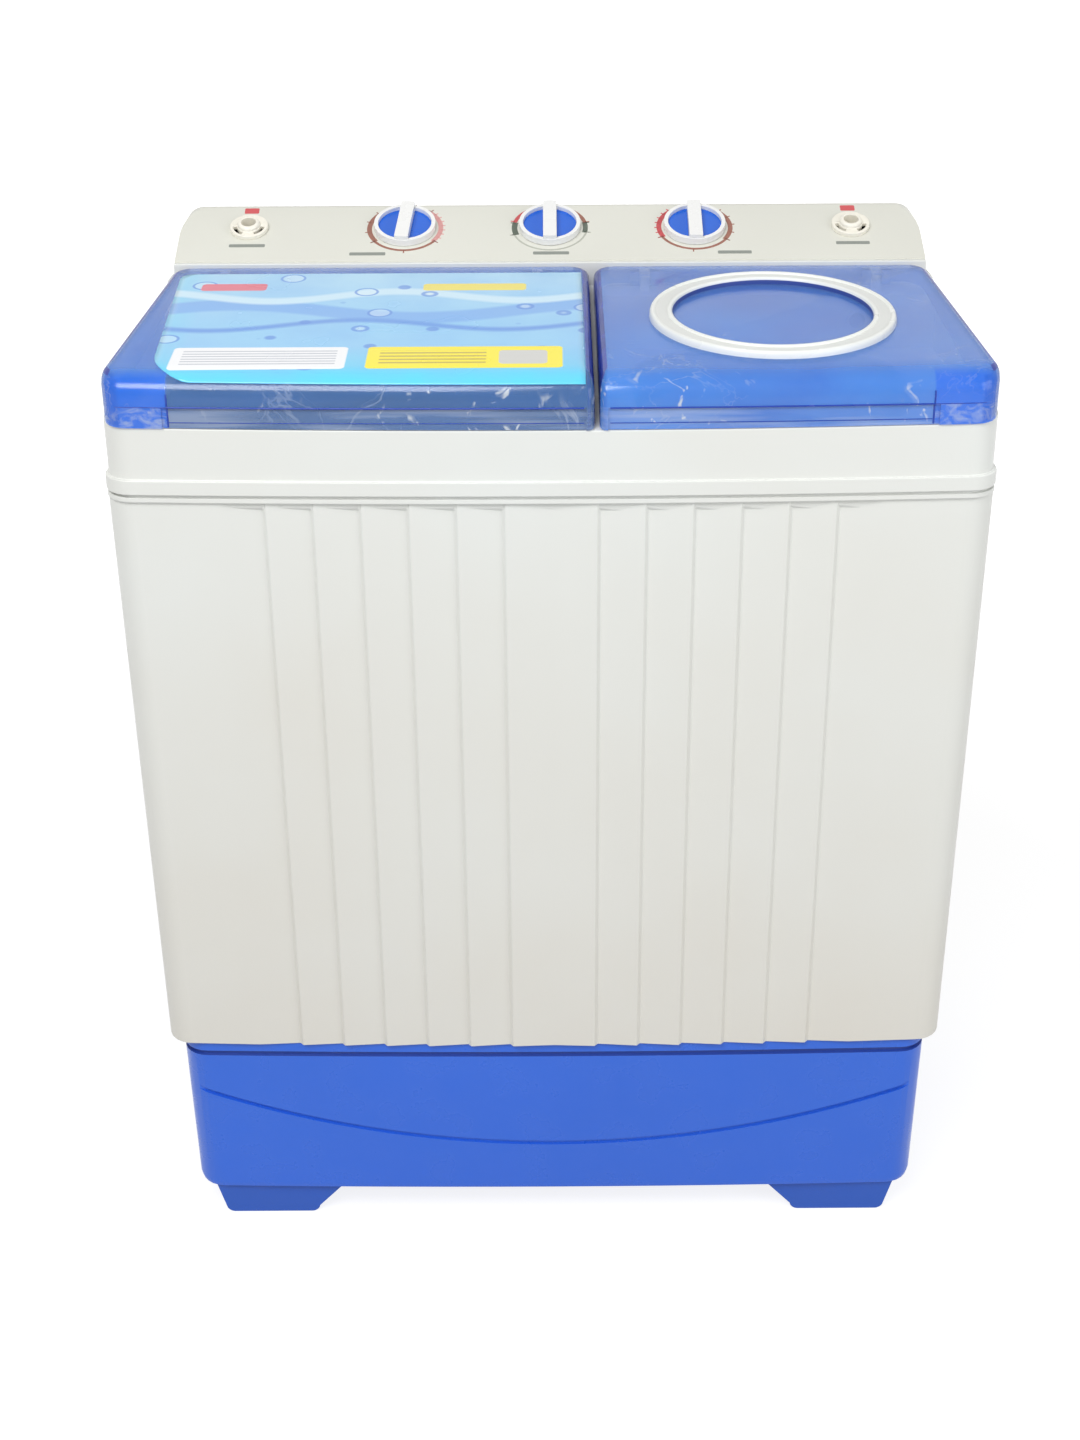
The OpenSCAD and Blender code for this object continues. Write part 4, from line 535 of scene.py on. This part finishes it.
def scale_tree():
    """Node tree that draws a printed scale: an arc of short strokes and ticks outside it."""
    lengths = ("Radius", "Stroke Length", "Line Width", "Tick Length", "Tick Width", "Ink Height")
    inputs = dict.fromkeys((*lengths, "Start", "Sweep", "Tilt"), "Float")
    inputs.update(Strokes="Int", Ticks="Int", Place="Vector", Ink="Material")
    tree, new, given = grow_tree("dial_scale", inputs)
    position = new("GeometryNodeInputPosition")

    def strokes(count, radius, wide, long):
        bow = {"Resolution": count, "Radius": radius}
        bow.update({"Start Angle": given["Start"], "Sweep Angle": given["Sweep"]})
        arc = new("GeometryNodeCurveArc", bow, mode="RADIUS")
        extent = new("ShaderNodeCombineXYZ", (wide, long, given["Ink Height"]))
        stroke = new("GeometryNodeMeshCube", {"Size": extent})
        aim = new("FunctionNodeAlignRotationToVector", {"Vector": position}, axis="Y", pivot_axis="Z")
        return new("GeometryNodeInstanceOnPoints", {"Points": arc, "Instance": stroke, "Rotation": aim})

    half = (given["Tick Length"], 0.5, given["Radius"])
    beyond = new("ShaderNodeMath", half, operation="MULTIPLY_ADD")
    line = strokes(given["Strokes"], given["Radius"], given["Stroke Length"], given["Line Width"])
    ticks = strokes(given["Ticks"], beyond, given["Tick Width"], given["Tick Length"])
    joined = new("GeometryNodeJoinGeometry", {"Geometry": line})
    feed(tree, joined.node.inputs["Geometry"], ticks)
    real = new("GeometryNodeRealizeInstances", {"Geometry": joined})
    lean = new("ShaderNodeCombineXYZ", {"X": given["Tilt"]})
    place = {"Geometry": real, "Translation": given["Place"], "Rotation": lean}
    moved = new("GeometryNodeTransform", place)
    inked = new("GeometryNodeSetMaterial", {"Geometry": moved, "Material": given["Ink"]})
    add_node(tree, "NodeGroupOutput", {"Geometry": inked})
    return tree


def bead_tree():
    """Node tree that runs a round bead along a line."""
    inputs = {"Geometry": "Geometry", "Radius": "Float", "Plastic": "Material"}
    tree, new, given = grow_tree("line_bead", inputs)
    path = new("GeometryNodeMeshToCurve", {"Mesh": given["Geometry"]})
    circle = {"Resolution": BEAD_SIDES, "Radius": given["Radius"]}
    section = new("GeometryNodeCurvePrimitiveCircle", circle)
    run = {"Curve": path, "Profile Curve": section, "Fill Caps": True}
    soft = new("GeometryNodeSetShadeSmooth", {"Geometry": new("GeometryNodeCurveToMesh", run)})
    real = new("GeometryNodeRealizeInstances", {"Geometry": soft})
    finished = new("GeometryNodeSetMaterial", {"Geometry": real, "Material": given["Plastic"]})
    add_node(tree, "NodeGroupOutput", {"Geometry": finished})
    return tree


def grown(tree, name, lines=(), **values):
    """Plain mesh that a node tree makes with these inputs, along lines of points where it needs them."""
    points, steps = [], []
    for line in lines:
        steps += [(len(points) + i, len(points) + i + 1) for i in range(len(line) - 1)]
        points += line
    seed_mesh = bpy.data.meshes.new(name + "_seed")
    seed_mesh.from_pydata(points, steps, [])
    grower = bpy.data.objects.new(name + "_grower", seed_mesh)
    bpy.context.scene.collection.objects.link(grower)
    modifier = grower.modifiers.new("grow", "NODES")
    modifier.node_group = tree
    sockets = {item.name: item.identifier for item in tree.interface.items_tree if item.in_out == "INPUT"}
    for key, value in values.items():
        modifier[sockets[key.replace("_", " ").title()]] = value
    bpy.context.view_layer.update()
    ready = grower.evaluated_get(bpy.context.evaluated_depsgraph_get())
    mesh = bpy.data.meshes.new_from_object(ready)
    mesh.name = name
    grower.modifiers.remove(modifier)
    bpy.data.objects.remove(grower)
    bpy.data.meshes.remove(seed_mesh)
    return mesh


def sheet_mesh(name, outline, thickness, place):
    """Thin closed sheet with a flat outline, set at a place."""
    build = bmesh.new()
    low = [build.verts.new((x, y, 0.0)) for x, y in outline]
    high = [build.verts.new((x, y, thickness)) for x, y in outline]
    build.faces.new(list(reversed(low)))
    build.faces.new(high)
    count = len(outline)
    for i in range(count):
        build.faces.new((low[i], low[(i + 1) % count], high[(i + 1) % count], high[i]))
    bmesh.ops.transform(build, matrix=place, verts=build.verts)
    return meshed(build, name)


def laid_sheet(name, rows, thickness, height):
    """Thin closed sheet over a surface, from rows of plan points, with a UV map in metres."""
    build = bmesh.new()
    layer = build.loops.layers.uv.new("flat")
    left = min(x for row in rows for x, _ in row)
    front = min(y for row in rows for _, y in row)
    levels = []
    for lift in (SHEET_SEAT * thickness, (1.0 + SHEET_SEAT) * thickness):
        levels.append([[build.verts.new((x, y, height(x, y) + lift)) for x, y in row] for row in rows])
    low, high = levels
    last, end = len(rows) - 1, len(rows[0]) - 1
    for i in range(last):
        for k in range(end):
            build.faces.new((high[i][k], high[i][k + 1], high[i + 1][k + 1], high[i + 1][k]))
            build.faces.new((low[i][k], low[i + 1][k], low[i + 1][k + 1], low[i][k + 1]))
        build.faces.new((low[i][0], high[i][0], high[i + 1][0], low[i + 1][0]))
        build.faces.new((low[i][end], low[i + 1][end], high[i + 1][end], high[i][end]))
    for k in range(end):
        build.faces.new((low[0][k], low[0][k + 1], high[0][k + 1], high[0][k]))
        build.faces.new((low[last][k], high[last][k], high[last][k + 1], low[last][k + 1]))
    for face in build.faces:
        face.smooth = True
        for loop in face.loops:
            loop[layer].uv = (loop.vert.co.x - left, loop.vert.co.y - front)
    return meshed(build, name)


def turned_mesh(name, section, finishes, place, steps=160, crease=50.0):
    """Ring turned from a closed section of radius and height, with a finish number for each side of it."""
    build = bmesh.new()
    rings = []
    for i in range(steps):
        angle = 2.0 * math.pi * i / steps
        rings.append([build.verts.new((r * math.cos(angle), r * math.sin(angle), z)) for r, z in section])
    count = len(section)
    for i in range(steps):
        here, there = rings[i], rings[(i + 1) % steps]
        for k in range(count):
            after = (k + 1) % count
            face = build.faces.new((here[k], there[k], there[after], here[after]))
            face.smooth = True
            face.material_index = finishes[k]
    bmesh.ops.recalc_face_normals(build, faces=build.faces)
    for rim in build.edges:
        rim.smooth = rim.calc_face_angle() < math.radians(crease)
    bmesh.ops.transform(build, matrix=place, verts=build.verts)
    return meshed(build, name)


def print_outline(x0, y0, x1, y1):
    """Anticlockwise rectangle with rounded corners, from the front left one."""
    radius, steps = PRINT_CORNER, PRINT_CORNER_STEPS
    left, right, front, rear = x0 + radius, x1 - radius, y0 + radius, y1 - radius
    outline = []
    for x, y, start in ((left, front, 180.0), (right, front, 270.0), (right, rear, 0.0), (left, rear, 90.0)):
        for i in range(steps + 1):
            angle = math.radians(start + 90.0 * i / steps)
            outline.append((x + radius * math.cos(angle), y + radius * math.sin(angle)))
    return outline


class WASHER_OT_cabinet(bpy.types.Operator):
    """Finishes the pleated cabinet and the top frame"""

    bl_idname = "washer.cabinet"
    bl_label = "Cabinet and frame"

    def execute(self, context):
        colours, sizes, _ = settings()
        white = moulded("shell_white", colours.shell, 0.36, colours.shell_warm, 520.0, 0.00005)
        low, high = (Vector(corner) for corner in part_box("back_panel"))
        margin = Vector((sizes.back_margin,) * 3)
        skin("cabinet", white, "cabinet_shell", 20.0, sizes.edge, (low - margin, high + margin))
        skin("top_frame", white, "frame_moulding", 24.0, sizes.edge)
        return {"FINISHED"}


class WASHER_OT_base(bpy.types.Operator):
    """Finishes the base tray and its feet"""

    bl_idname = "washer.base"
    bl_label = "Base and feet"

    def execute(self, context):
        colours, sizes, _ = settings()
        piece = skin("base_tray", moulded("base_blue", colours.base, 0.3), "base_moulding", 24.0, sizes.edge)
        # Painted shade: faces inside the groove round the base take the darker groove colour
        piece.data.materials.append(moulded("groove_blue", colours.groove, 0.5))
        for face in piece.data.polygons:
            heights = [piece.data.vertices[i].co.z for i in face.vertices]
            face.material_index = int(min(heights) > sizes.groove_low and max(heights) < sizes.groove_high)
        skin("feet", moulded("foot_blue", colours.foot, 0.42), "foot_mouldings", edge=sizes.edge)
        return {"FINISHED"}


class WASHER_OT_panel(bpy.types.Operator):
    """Finishes the control panel and prints its scales, marks and bars"""

    bl_idname = "washer.panel"
    bl_label = "Control panel"

    def execute(self, context):
        colours, sizes, _ = settings()
        grey = moulded("panel_grey", colours.panel, 0.4, None, 420.0, 0.00012)
        skin("control_panel", grey, "panel_moulding", 28.0, sizes.edge)
        tree = scale_tree()
        inks = {
            name: printed("print_" + name, getattr(colours, "print_" + name))
            for name in ("red", "pink", "brown", "green", "grey", "dark")
        }
        # Ink, start and sweep in degrees, line width in millimetres and ticks of the arcs round each dial
        prints = {
            "wash_timer_turn": (
                ("brown", 138.0, 78.0, 4.4, 4),
                ("brown", 216.0, 108.0, 2.6, 3),
                ("pink", -36.0, 84.0, 4.2, 9),
                ("brown", 48.0, 28.0, 3.0, 2),
            ),
            "drain_selector_turn": (
                ("red", 106.0, 58.0, 3.6, 2),
                ("green", 168.0, 30.0, 5.0, 2),
                ("brown", 14.0, 60.0, 3.6, 2),
                ("green", -12.0, 24.0, 4.4, 2),
                ("grey", 198.0, 150.0, 1.6, 2),
            ),
            "spin_timer_turn": (
                ("red", 132.0, 74.0, 4.4, 7),
                ("brown", 206.0, 120.0, 2.6, 3),
                ("brown", -34.0, 100.0, 4.2, 6),
            ),
        }
        arcs = [(joint, *arc) for joint, rows in prints.items() for arc in rows]
        for index, (joint, ink, start, sweep, wide, ticks) in enumerate(arcs):
            place = dial_place(joint, 0.5 * sizes.ink)
            strokes = int(sweep / STROKE_DEGREES)
            mesh = grown(
                tree,
                f"{joint}_print_{index}",
                radius=sizes.scale_radius - 0.5 * MM * wide,
                start=math.radians(start),
                sweep=math.radians(sweep),
                strokes=strokes,
                stroke_length=STROKE_OVERLAP * sizes.scale_radius * math.radians(sweep) / (strokes - 1),
                line_width=MM * wide,
                ticks=ticks,
                tick_length=sizes.tick_length,
                tick_width=sizes.tick_width,
                ink_height=sizes.ink,
                place=place.translation,
                tilt=place.to_euler().x,
                ink=inks[ink],
            )
            finish_piece(mesh, "control_panel")
        for mount in ("wash_inlet_bore", "spin_inlet_bore"):
            place = dial_place("drain_selector_turn")
            place.translation.x = MOUNTS[mount]["pos_m"][0]
            mesh = sheet_mesh(mount + "_mark", print_outline(*INLET_MARK), sizes.ink, place)
            finish_piece(mesh, "control_panel", inks["red"])
        # Middle of a plain bar across and up the panel from the selector, in millimetres, and half its length
        bars = ((-270, -25, 16), (270, -25, 15), (-162, -38, 16), (1, -38, 16), (164, -38, 15))
        for index, (across, up, half) in enumerate(bars):
            bar = print_outline(-MM * half, -sizes.bar_half, MM * half, sizes.bar_half)
            place = dial_place("drain_selector_turn") @ Matrix.Translation((MM * across, MM * up, 0.0))
            mesh = sheet_mesh(f"panel_bar_{index}", bar, sizes.ink, place)
            finish_piece(mesh, "control_panel", inks["dark"])
        return {"FINISHED"}


class WASHER_OT_dials(bpy.types.Operator):
    """Finishes the three dials and their inlays"""

    bl_idname = "washer.dials"
    bl_label = "Dials"

    def execute(self, context):
        colours, sizes, _ = settings()
        white = moulded("knob_white", colours.knob, 0.26)
        blue = moulded("inlay_blue", colours.inlay, 0.22)
        for dial in ("wash_timer", "drain_selector", "spin_timer"):
            skin(dial + "_knob", white, dial + "_dial", edge=sizes.edge)
            skin(dial + "_inlay", blue, dial + "_half_moons")
        return {"FINISHED"}


class WASHER_OT_inlets(bpy.types.Operator):
    """Finishes the water inlets"""

    bl_idname = "washer.inlets"
    bl_label = "Water inlets"

    def execute(self, context):
        colours, sizes, _ = settings()
        cream = moulded("inlet_cream", colours.inlet, 0.28)
        for side in ("wash", "spin"):
            skin(side + "_inlet", cream, side + "_inlet_fitting", edge=sizes.edge)
        return {"FINISHED"}


def label_finish():
    """Printed sheet: a pale blue ground with wave bands, rings of foam and plain colour fields."""
    finish = Finish("label_print")
    flat = finish.place(kind="UV")
    axes = finish.axes(flat)
    across, deep = axes["X"], axes["Y"]

    def field(x0, x1, y0, y1, corner=0.004, soft=0.0005):
        """Mask of a rectangle with rounded corners."""
        squares = []
        for value, low, high in ((across, x0, x1), (deep, y0, y1)):
            off = finish.math("ABSOLUTE", finish.math("SUBTRACT", value, 0.5 * (low + high)))
            over = finish.math("MAXIMUM", finish.math("SUBTRACT", off, 0.5 * (high - low) - corner), 0.0)
            squares.append(finish.math("MULTIPLY", over, over))
        reach = finish.math("SQRT", finish.math("ADD", *squares))
        return finish.spread(reach, 1.0, 0.0, corner - soft, corner + soft)

    def rows(x0, x1, y0, y1, pitch):
        """Mask of thin lines that fill a rectangle."""
        stripe = finish.math("FRACT", finish.math("MULTIPLY", deep, 1.0 / pitch))
        return finish.meet(field(x0, x1, y0, y1, 0.0006), finish.math("LESS_THAN", stripe, 0.42))

    def band(middle, height, length, phase, thick, soft=0.003):
        """Mask of a wavy band across the sheet."""
        swing = finish.math("SINE", finish.math("MULTIPLY_ADD", across, 2.0 * math.pi / length, phase))
        line = finish.math("MULTIPLY_ADD", swing, height, middle)
        off = finish.math("ABSOLUTE", finish.math("SUBTRACT", deep, line))
        return finish.spread(off, 1.0, 0.0, thick - soft, thick + soft)

    ground = finish.mix(finish.spread(deep, 0.0, 1.0, 0.0, 0.07), tone(84, 214, 244), tone(150, 208, 244))
    ground = finish.mix(finish.spread(deep, 0.0, 0.7, 0.12, 0.25), ground, tone(186, 226, 248))
    ground = finish.mix(finish.spread(across, 0.6, 0.0, 0.0, 0.03), ground, tone(120, 222, 246))
    ground = finish.mix(finish.spread(finish.noise(flat, 15.0, 3.0), 0.0, 0.45), ground, tone(128, 186, 240))
    for middle, height, length, phase, thick, colour in (
        (0.152, 0.017, 0.31, 0.4, 0.014, tone(122, 178, 238)),
        (0.190, 0.012, 0.21, 2.1, 0.008, tone(204, 234, 250)),
        (0.118, 0.012, 0.24, 3.6, 0.005, tone(96, 154, 228)),
    ):
        ground = finish.mix(band(middle, height, length, phase, thick), ground, colour)
    cells = {"Vector": flat, "Scale": 26.0, "Randomness": 0.85}
    away = finish.made("ShaderNodeTexVoronoi", cells, feature="F1")
    edge = finish.math("ABSOLUTE", finish.math("SUBTRACT", away, 0.26))
    drop = finish.spread(away, 1.0, 0.0, 0.22, 0.26)
    ground = finish.mix(finish.math("MULTIPLY", drop, 0.4), ground, tone(220, 240, 252))
    ground = finish.mix(finish.spread(edge, 0.8, 0.0, 0.015, 0.04), ground, tone(84, 140, 222))
    white, yellow, grey = tone(246, 247, 249), tone(252, 236, 30), tone(196, 200, 208)
    fields = (
        (0.022, 0.160, 0.018, 0.066, white),
        (0.176, 0.330, 0.018, 0.066, yellow),
        (0.280, 0.318, 0.027, 0.057, tone(208, 208, 204)),
        (0.022, 0.078, 0.206, 0.224, tone(226, 110, 130)),
        (0.212, 0.300, 0.204, 0.222, tone(240, 224, 96)),
    )
    for x0, x1, y0, y1, colour in fields:
        ground = finish.mix(field(x0, x1, y0, y1), ground, colour)
    ground = finish.mix(rows(0.030, 0.152, 0.026, 0.060, 0.0056), ground, grey)
    ground = finish.mix(rows(0.186, 0.270, 0.026, 0.058, 0.0072), ground, tone(196, 176, 60))
    paper = finish.noise(finish.place(), 900.0)
    gloss = finish.spread(finish.noise(finish.place(), 16.0, 3.0), 0.12, 0.3)
    return finish.shader(base_color=ground, roughness=gloss, normal=finish.bump(paper, 0.00003, 0.3))


def label_rows(sizes, columns=48):
    """Plan points of the label, row by row from its front, which follows the lid's front, to its rear."""
    front = front_of("wash_lid")
    strip_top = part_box("wash_lid")[0][2] + sizes.strip_up + sizes.bead

    def lead(x):
        return front(x, strip_top).y + sizes.label_in

    total = sizes.label_rear - lead(sizes.label_right)
    deep, rear = sizes.label_corner_deep, sizes.label_corner_rear
    depths = [deep * (1.0 - math.cos(math.radians(9.0 * i))) for i in range(11)]
    depths += [deep + (total - deep - rear) * i / 20 for i in range(1, 21)]
    depths += [total - rear * (1.0 - math.sin(math.radians(15.0 * i))) for i in range(1, 7)]
    rows = []
    for depth in depths:
        left = -sizes.label_left + sizes.label_taper * (1.0 - depth / total)
        for reach, wide, off in ((deep, sizes.label_corner, depth), (rear, rear, total - depth)):
            share = max(0.0, 1.0 - off / reach)
            left += wide * (1.0 - math.sqrt(1.0 - share**2))
        across = [left + (sizes.label_right - left) * k / columns for k in range(columns + 1)]
        rows.append([(x, lead(x) + (sizes.label_rear - lead(x)) * depth / total) for x in across])
    return rows


class WASHER_OT_lids(bpy.types.Operator):
    """Finishes the lids, the ring on the spin lid and the label on the wash lid"""

    bl_idname = "washer.lids"
    bl_label = "Lids and label"

    def execute(self, context):
        colours, sizes, _ = settings()
        edge = clear_side_shade("lid_edge_blue", colours.lid_edge)
        for lid, side in (("wash_lid", -sizes.strip_side), ("spin_lid", sizes.strip_side)):
            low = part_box(lid)[0]
            strip_z = low[2] + sizes.strip_up
            clear = clear_plastic(lid + "_blue", colours, low[1], side, strip_z, lid == "wash_lid")
            piece = skin(lid, clear, lid + "_shell", 35.0)
            piece.data.materials.append(edge)
            # Side faces take the dark side-wall finish, painted shade
            for face in piece.data.polygons:
                face.material_index = int(abs(face.normal.x) > SIDE_WALL_X and face.normal.y > SIDE_WALL_Y)
        self.ring(colours, sizes)
        self.beads(colours, sizes)
        mesh = laid_sheet("wash_label", label_rows(sizes), sizes.label_lift, surface_of("wash_lid"))
        finish_piece(mesh, "wash_lid", label_finish())
        return {"FINISHED"}

    def ring(self, colours, sizes):
        """Ring with two raised rims and a channel between them."""
        top = surface_of("spin_lid")
        low, high = (Vector(corner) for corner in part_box("spin_lid_ring"))
        middle = 0.5 * (low + high)
        reach = 0.5 * (high.x - low.x)
        near_z, far_z = top(middle.x, low.y), top(middle.x, high.y)
        slope = math.atan2(far_z - near_z, high.y - low.y)
        tall = high.z - far_z
        points = [v.co for v in NODES["spin_lid_ring"].data.vertices]
        inner = min((p.xy - middle.xy).length for p in points if abs(p.y - middle.y) < RING_SLICE)
        rim, lean = sizes.ring_rim, sizes.ring_lean
        wall, floor = RING_WALL * tall, tall - sizes.ring_channel
        # Peak of each rim, half its width and the heights where its two sides end
        rims = ((inner + 0.5 * rim, 0.5 * rim, wall, floor), (reach - lean, lean, floor, 0.0))
        section, finishes = [(inner, 0.0)], [2]
        for peak, wide, start, end in rims:
            for i in range(9):
                angle = math.radians(180.0 - 22.5 * i)
                foot = start if i < 4 else end
                section.append((peak + wide * math.cos(angle), foot + (tall - foot) * math.sin(angle)))
                finishes.append(0)
            finishes[-1] = 1
        finishes[-1] = 0
        place = Matrix.Translation((middle.x, middle.y, 0.5 * (near_z + far_z)))
        place = place @ Euler((slope, 0.0, 0.0)).to_matrix().to_4x4()
        mesh = turned_mesh("lid_ring", section, finishes, place)
        white = moulded("ring_white", colours.ring, 0.3)
        channel = moulded("ring_channel", colours.ring_channel, 0.35)
        inside = moulded("ring_inside", colours.ring_inside, 0.4)
        piece = finish_piece(mesh, "spin_lid_ring", white, channel, inside)
        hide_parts("spin_lid_ring")

    def beads(self, colours, sizes):
        """Dark beads round each finger strip, and fine dark lines beside and below it, all painted shade standing
        for dark edge lines on the lid's front.
        """
        tree = bead_tree()
        dark = moulded("bead_blue", colours.bead, 0.25)
        for lid, side in (("wash_lid", -1.0), ("spin_lid", 1.0)):
            low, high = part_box(lid)
            front = front_of(lid)
            inside = (high[0] if side < 0 else low[0]) + side * sizes.strip_inset
            outside, corner = side * sizes.strip_side, side * sizes.lid_corner
            foot, rim, up = low[2] + sizes.post_foot, low[2] + sizes.rim_up, low[2] + sizes.strip_up
            post = [front(outside, foot + (sizes.post_up - sizes.post_foot) * i / 12) for i in range(13)]

            def across(end, z, steps):
                return [front(outside + (end - outside) * i / steps, z) for i in range(steps + 1)]

            lines = (post, across(inside, up, 40))
            mesh = grown(tree, lid + "_bead", lines, radius=0.5 * sizes.bead, plastic=dark)
            finish_piece(mesh, lid)
            lines = (across(corner, up, 10), across(inside, rim, 40))
            mesh = grown(tree, lid + "_lines", lines, radius=0.5 * sizes.lid_line, plastic=dark)
            finish_piece(mesh, lid)


class WASHER_OT_inside(bpy.types.Operator):
    """Finishes the tubs, the drives, the brake and the drain"""

    bl_idname = "washer.inside"
    bl_label = "Inner pieces"

    def execute(self, context):
        colours, _, _ = settings()
        finishes = {
            "tub_white": moulded("tub_white", colours.tub, 0.38),
            "base_blue": moulded("pulsator_blue", colours.base, 0.3),
            "cream": moulded("filter_cream", colours.inlet, 0.4),
            "timer_body": moulded("timer_body", colours.timer, 0.5),
            "steel": brushed("steel", colours.steel),
            "motor_iron": moulded("motor_paint", colours.motor, 0.45),
            "cast_metal": cast("cast_metal", colours.cast),
            "black_rubber": rubbery("black_rubber", colours.rubber),
            "shell_white": bpy.data.materials["shell_white"],
        }
        for node, source in NODES.items():
            if not source.hide_render:
                skin(node, finishes[SLOT_OF[node]], node + "_part")
        return {"FINISHED"}


def lamp(name, power, extent, place, target):
    """Soft area lamp that looks at a point."""
    data = bpy.data.lights.new(name, "AREA")
    data.energy = power
    data.shape = "RECTANGLE"
    data.size, data.size_y = extent
    light = bpy.data.objects.new(name, data)
    light.location = place
    light.rotation_euler = (Vector(target) - Vector(place)).to_track_quat("-Z", "Y").to_euler()
    bpy.context.scene.collection.objects.link(light)


def seen(tree):
    """Output that is one where the camera looks, also in gloss and through clear plastic."""
    path = add_node(tree, "ShaderNodeLightPath").outputs
    level = path["Is Camera Ray"]
    for name in ("Is Glossy Ray", "Is Transmission Ray"):
        level = made(tree, "ShaderNodeMath", (level, path[name]), operation="MAXIMUM")
    return level


class WASHER_OT_stage(bpy.types.Operator):
    """Makes the floor, the light and the camera"""

    bl_idname = "washer.stage"
    bl_label = "Stage"

    def execute(self, context):
        _, _, stage = settings()
        scene = context.scene
        self.floor(stage)
        self.sky(scene, stage)
        lamp("key_lamp", stage.key_power, (1.8, 1.2), (-0.9, -2.0, 2.9), (0.0, 0.0, 0.6))
        lamp("fill_lamp", stage.fill_power, (1.6, 1.6), (1.9, -1.6, 1.5), (0.0, 0.0, 0.5))
        data = bpy.data.cameras.new("photo_camera")
        data.sensor_width = 36.0
        data.lens = stage.lens
        data.shift_x = stage.shift
        data.clip_end = 100.0
        camera = bpy.data.objects.new("photo_camera", data)
        camera.location = (0.0, -stage.camera_back, stage.camera_up)
        aim = Euler((math.radians(90.0) - stage.camera_pitch, 0.0, 0.0)).to_matrix()
        camera.rotation_euler = (aim @ Euler((0.0, 0.0, -stage.camera_roll)).to_matrix()).to_euler()
        scene.collection.objects.link(camera)
        scene.camera = camera
        scene.view_settings.view_transform = "Standard"
        return {"FINISHED"}

    def floor(self, stage):
        """Wide pale floor, plain white far from the machine."""
        build = bmesh.new()
        bmesh.ops.create_grid(build, x_segments=2, y_segments=2, size=FLOOR_REACH)
        mesh = meshed(build, "floor")
        ground = bpy.data.objects.new("floor", mesh)
        bpy.context.scene.collection.objects.link(ground)
        finish = Finish("floor_pale")
        at = finish.place()
        cloud = finish.spread(finish.noise(at, 2.0), 0.0, 0.1)
        tint = finish.mix(cloud, stage.floor, shade(stage.floor, 0.97))
        matt = finish.made("ShaderNodeBsdfDiffuse", {"Color": tint})
        lit = finish.made("ShaderNodeEmission", {"Strength": stage.floor_glow})
        away = add_node(finish.tree, "ShaderNodeVectorMath", (at,), operation="LENGTH").outputs["Value"]
        share = finish.spread(away, stage.floor_share, 1.0, *FLOOR_FADE)
        pale = finish.made("ShaderNodeMixShader", (share, matt, lit))
        choice = finish.made("ShaderNodeMixShader", (seen(finish.tree), matt, pale))
        feed(finish.tree, finish.out.inputs["Surface"], choice)
        finish.tree.nodes.remove(finish.bsdf)
        mesh.materials.append(finish.material)

    def sky(self, scene, stage):
        """Even light that the camera sees as white."""
        world = bpy.data.worlds.new("studio")
        world.use_nodes = True
        scene.world = world
        tree = world.node_tree
        tree.nodes.clear()
        lights = []
        for strength in (stage.world_light, 1.0):
            lights.append(made(tree, "ShaderNodeBackground", {"Color": WHITE, "Strength": strength}))
        choice = made(tree, "ShaderNodeMixShader", (seen(tree), *lights))
        add_node(tree, "ShaderNodeOutputWorld", {"Surface": choice})


STEPS = (
    WASHER_OT_cabinet,
    WASHER_OT_base,
    WASHER_OT_panel,
    WASHER_OT_dials,
    WASHER_OT_inlets,
    WASHER_OT_lids,
    WASHER_OT_inside,
    WASHER_OT_stage,
)


class WASHER_PT_sidebar(bpy.types.Panel):
    """Settings and steps of the washer"""

    bl_idname = "WASHER_PT_sidebar"
    bl_label = "Twin tub washer"
    bl_space_type = "VIEW_3D"
    bl_region_type = "UI"
    bl_category = "Washer"

    def draw(self, context):
        for step in STEPS:
            self.layout.operator(step.bl_idname)
        for group in settings():
            box = self.layout.box()
            for name in group.__annotations__:
                box.prop(group, name)


CLASSES = (*GROUPS.values(), *STEPS, WASHER_PT_sidebar)


def register():
    for each in CLASSES:
        bpy.utils.register_class(each)
    for name, group in GROUPS.items():
        setattr(bpy.types.Scene, name, bpy.props.PointerProperty(type=group))


def unregister():
    for name in GROUPS:
        delattr(bpy.types.Scene, name)
    for each in reversed(CLASSES):
        bpy.utils.unregister_class(each)


def main():
    register()
    for step in STEPS:
        group, call = step.bl_idname.split(".")
        getattr(getattr(bpy.ops, group), call)()


if __name__ == "__main__":
    main()
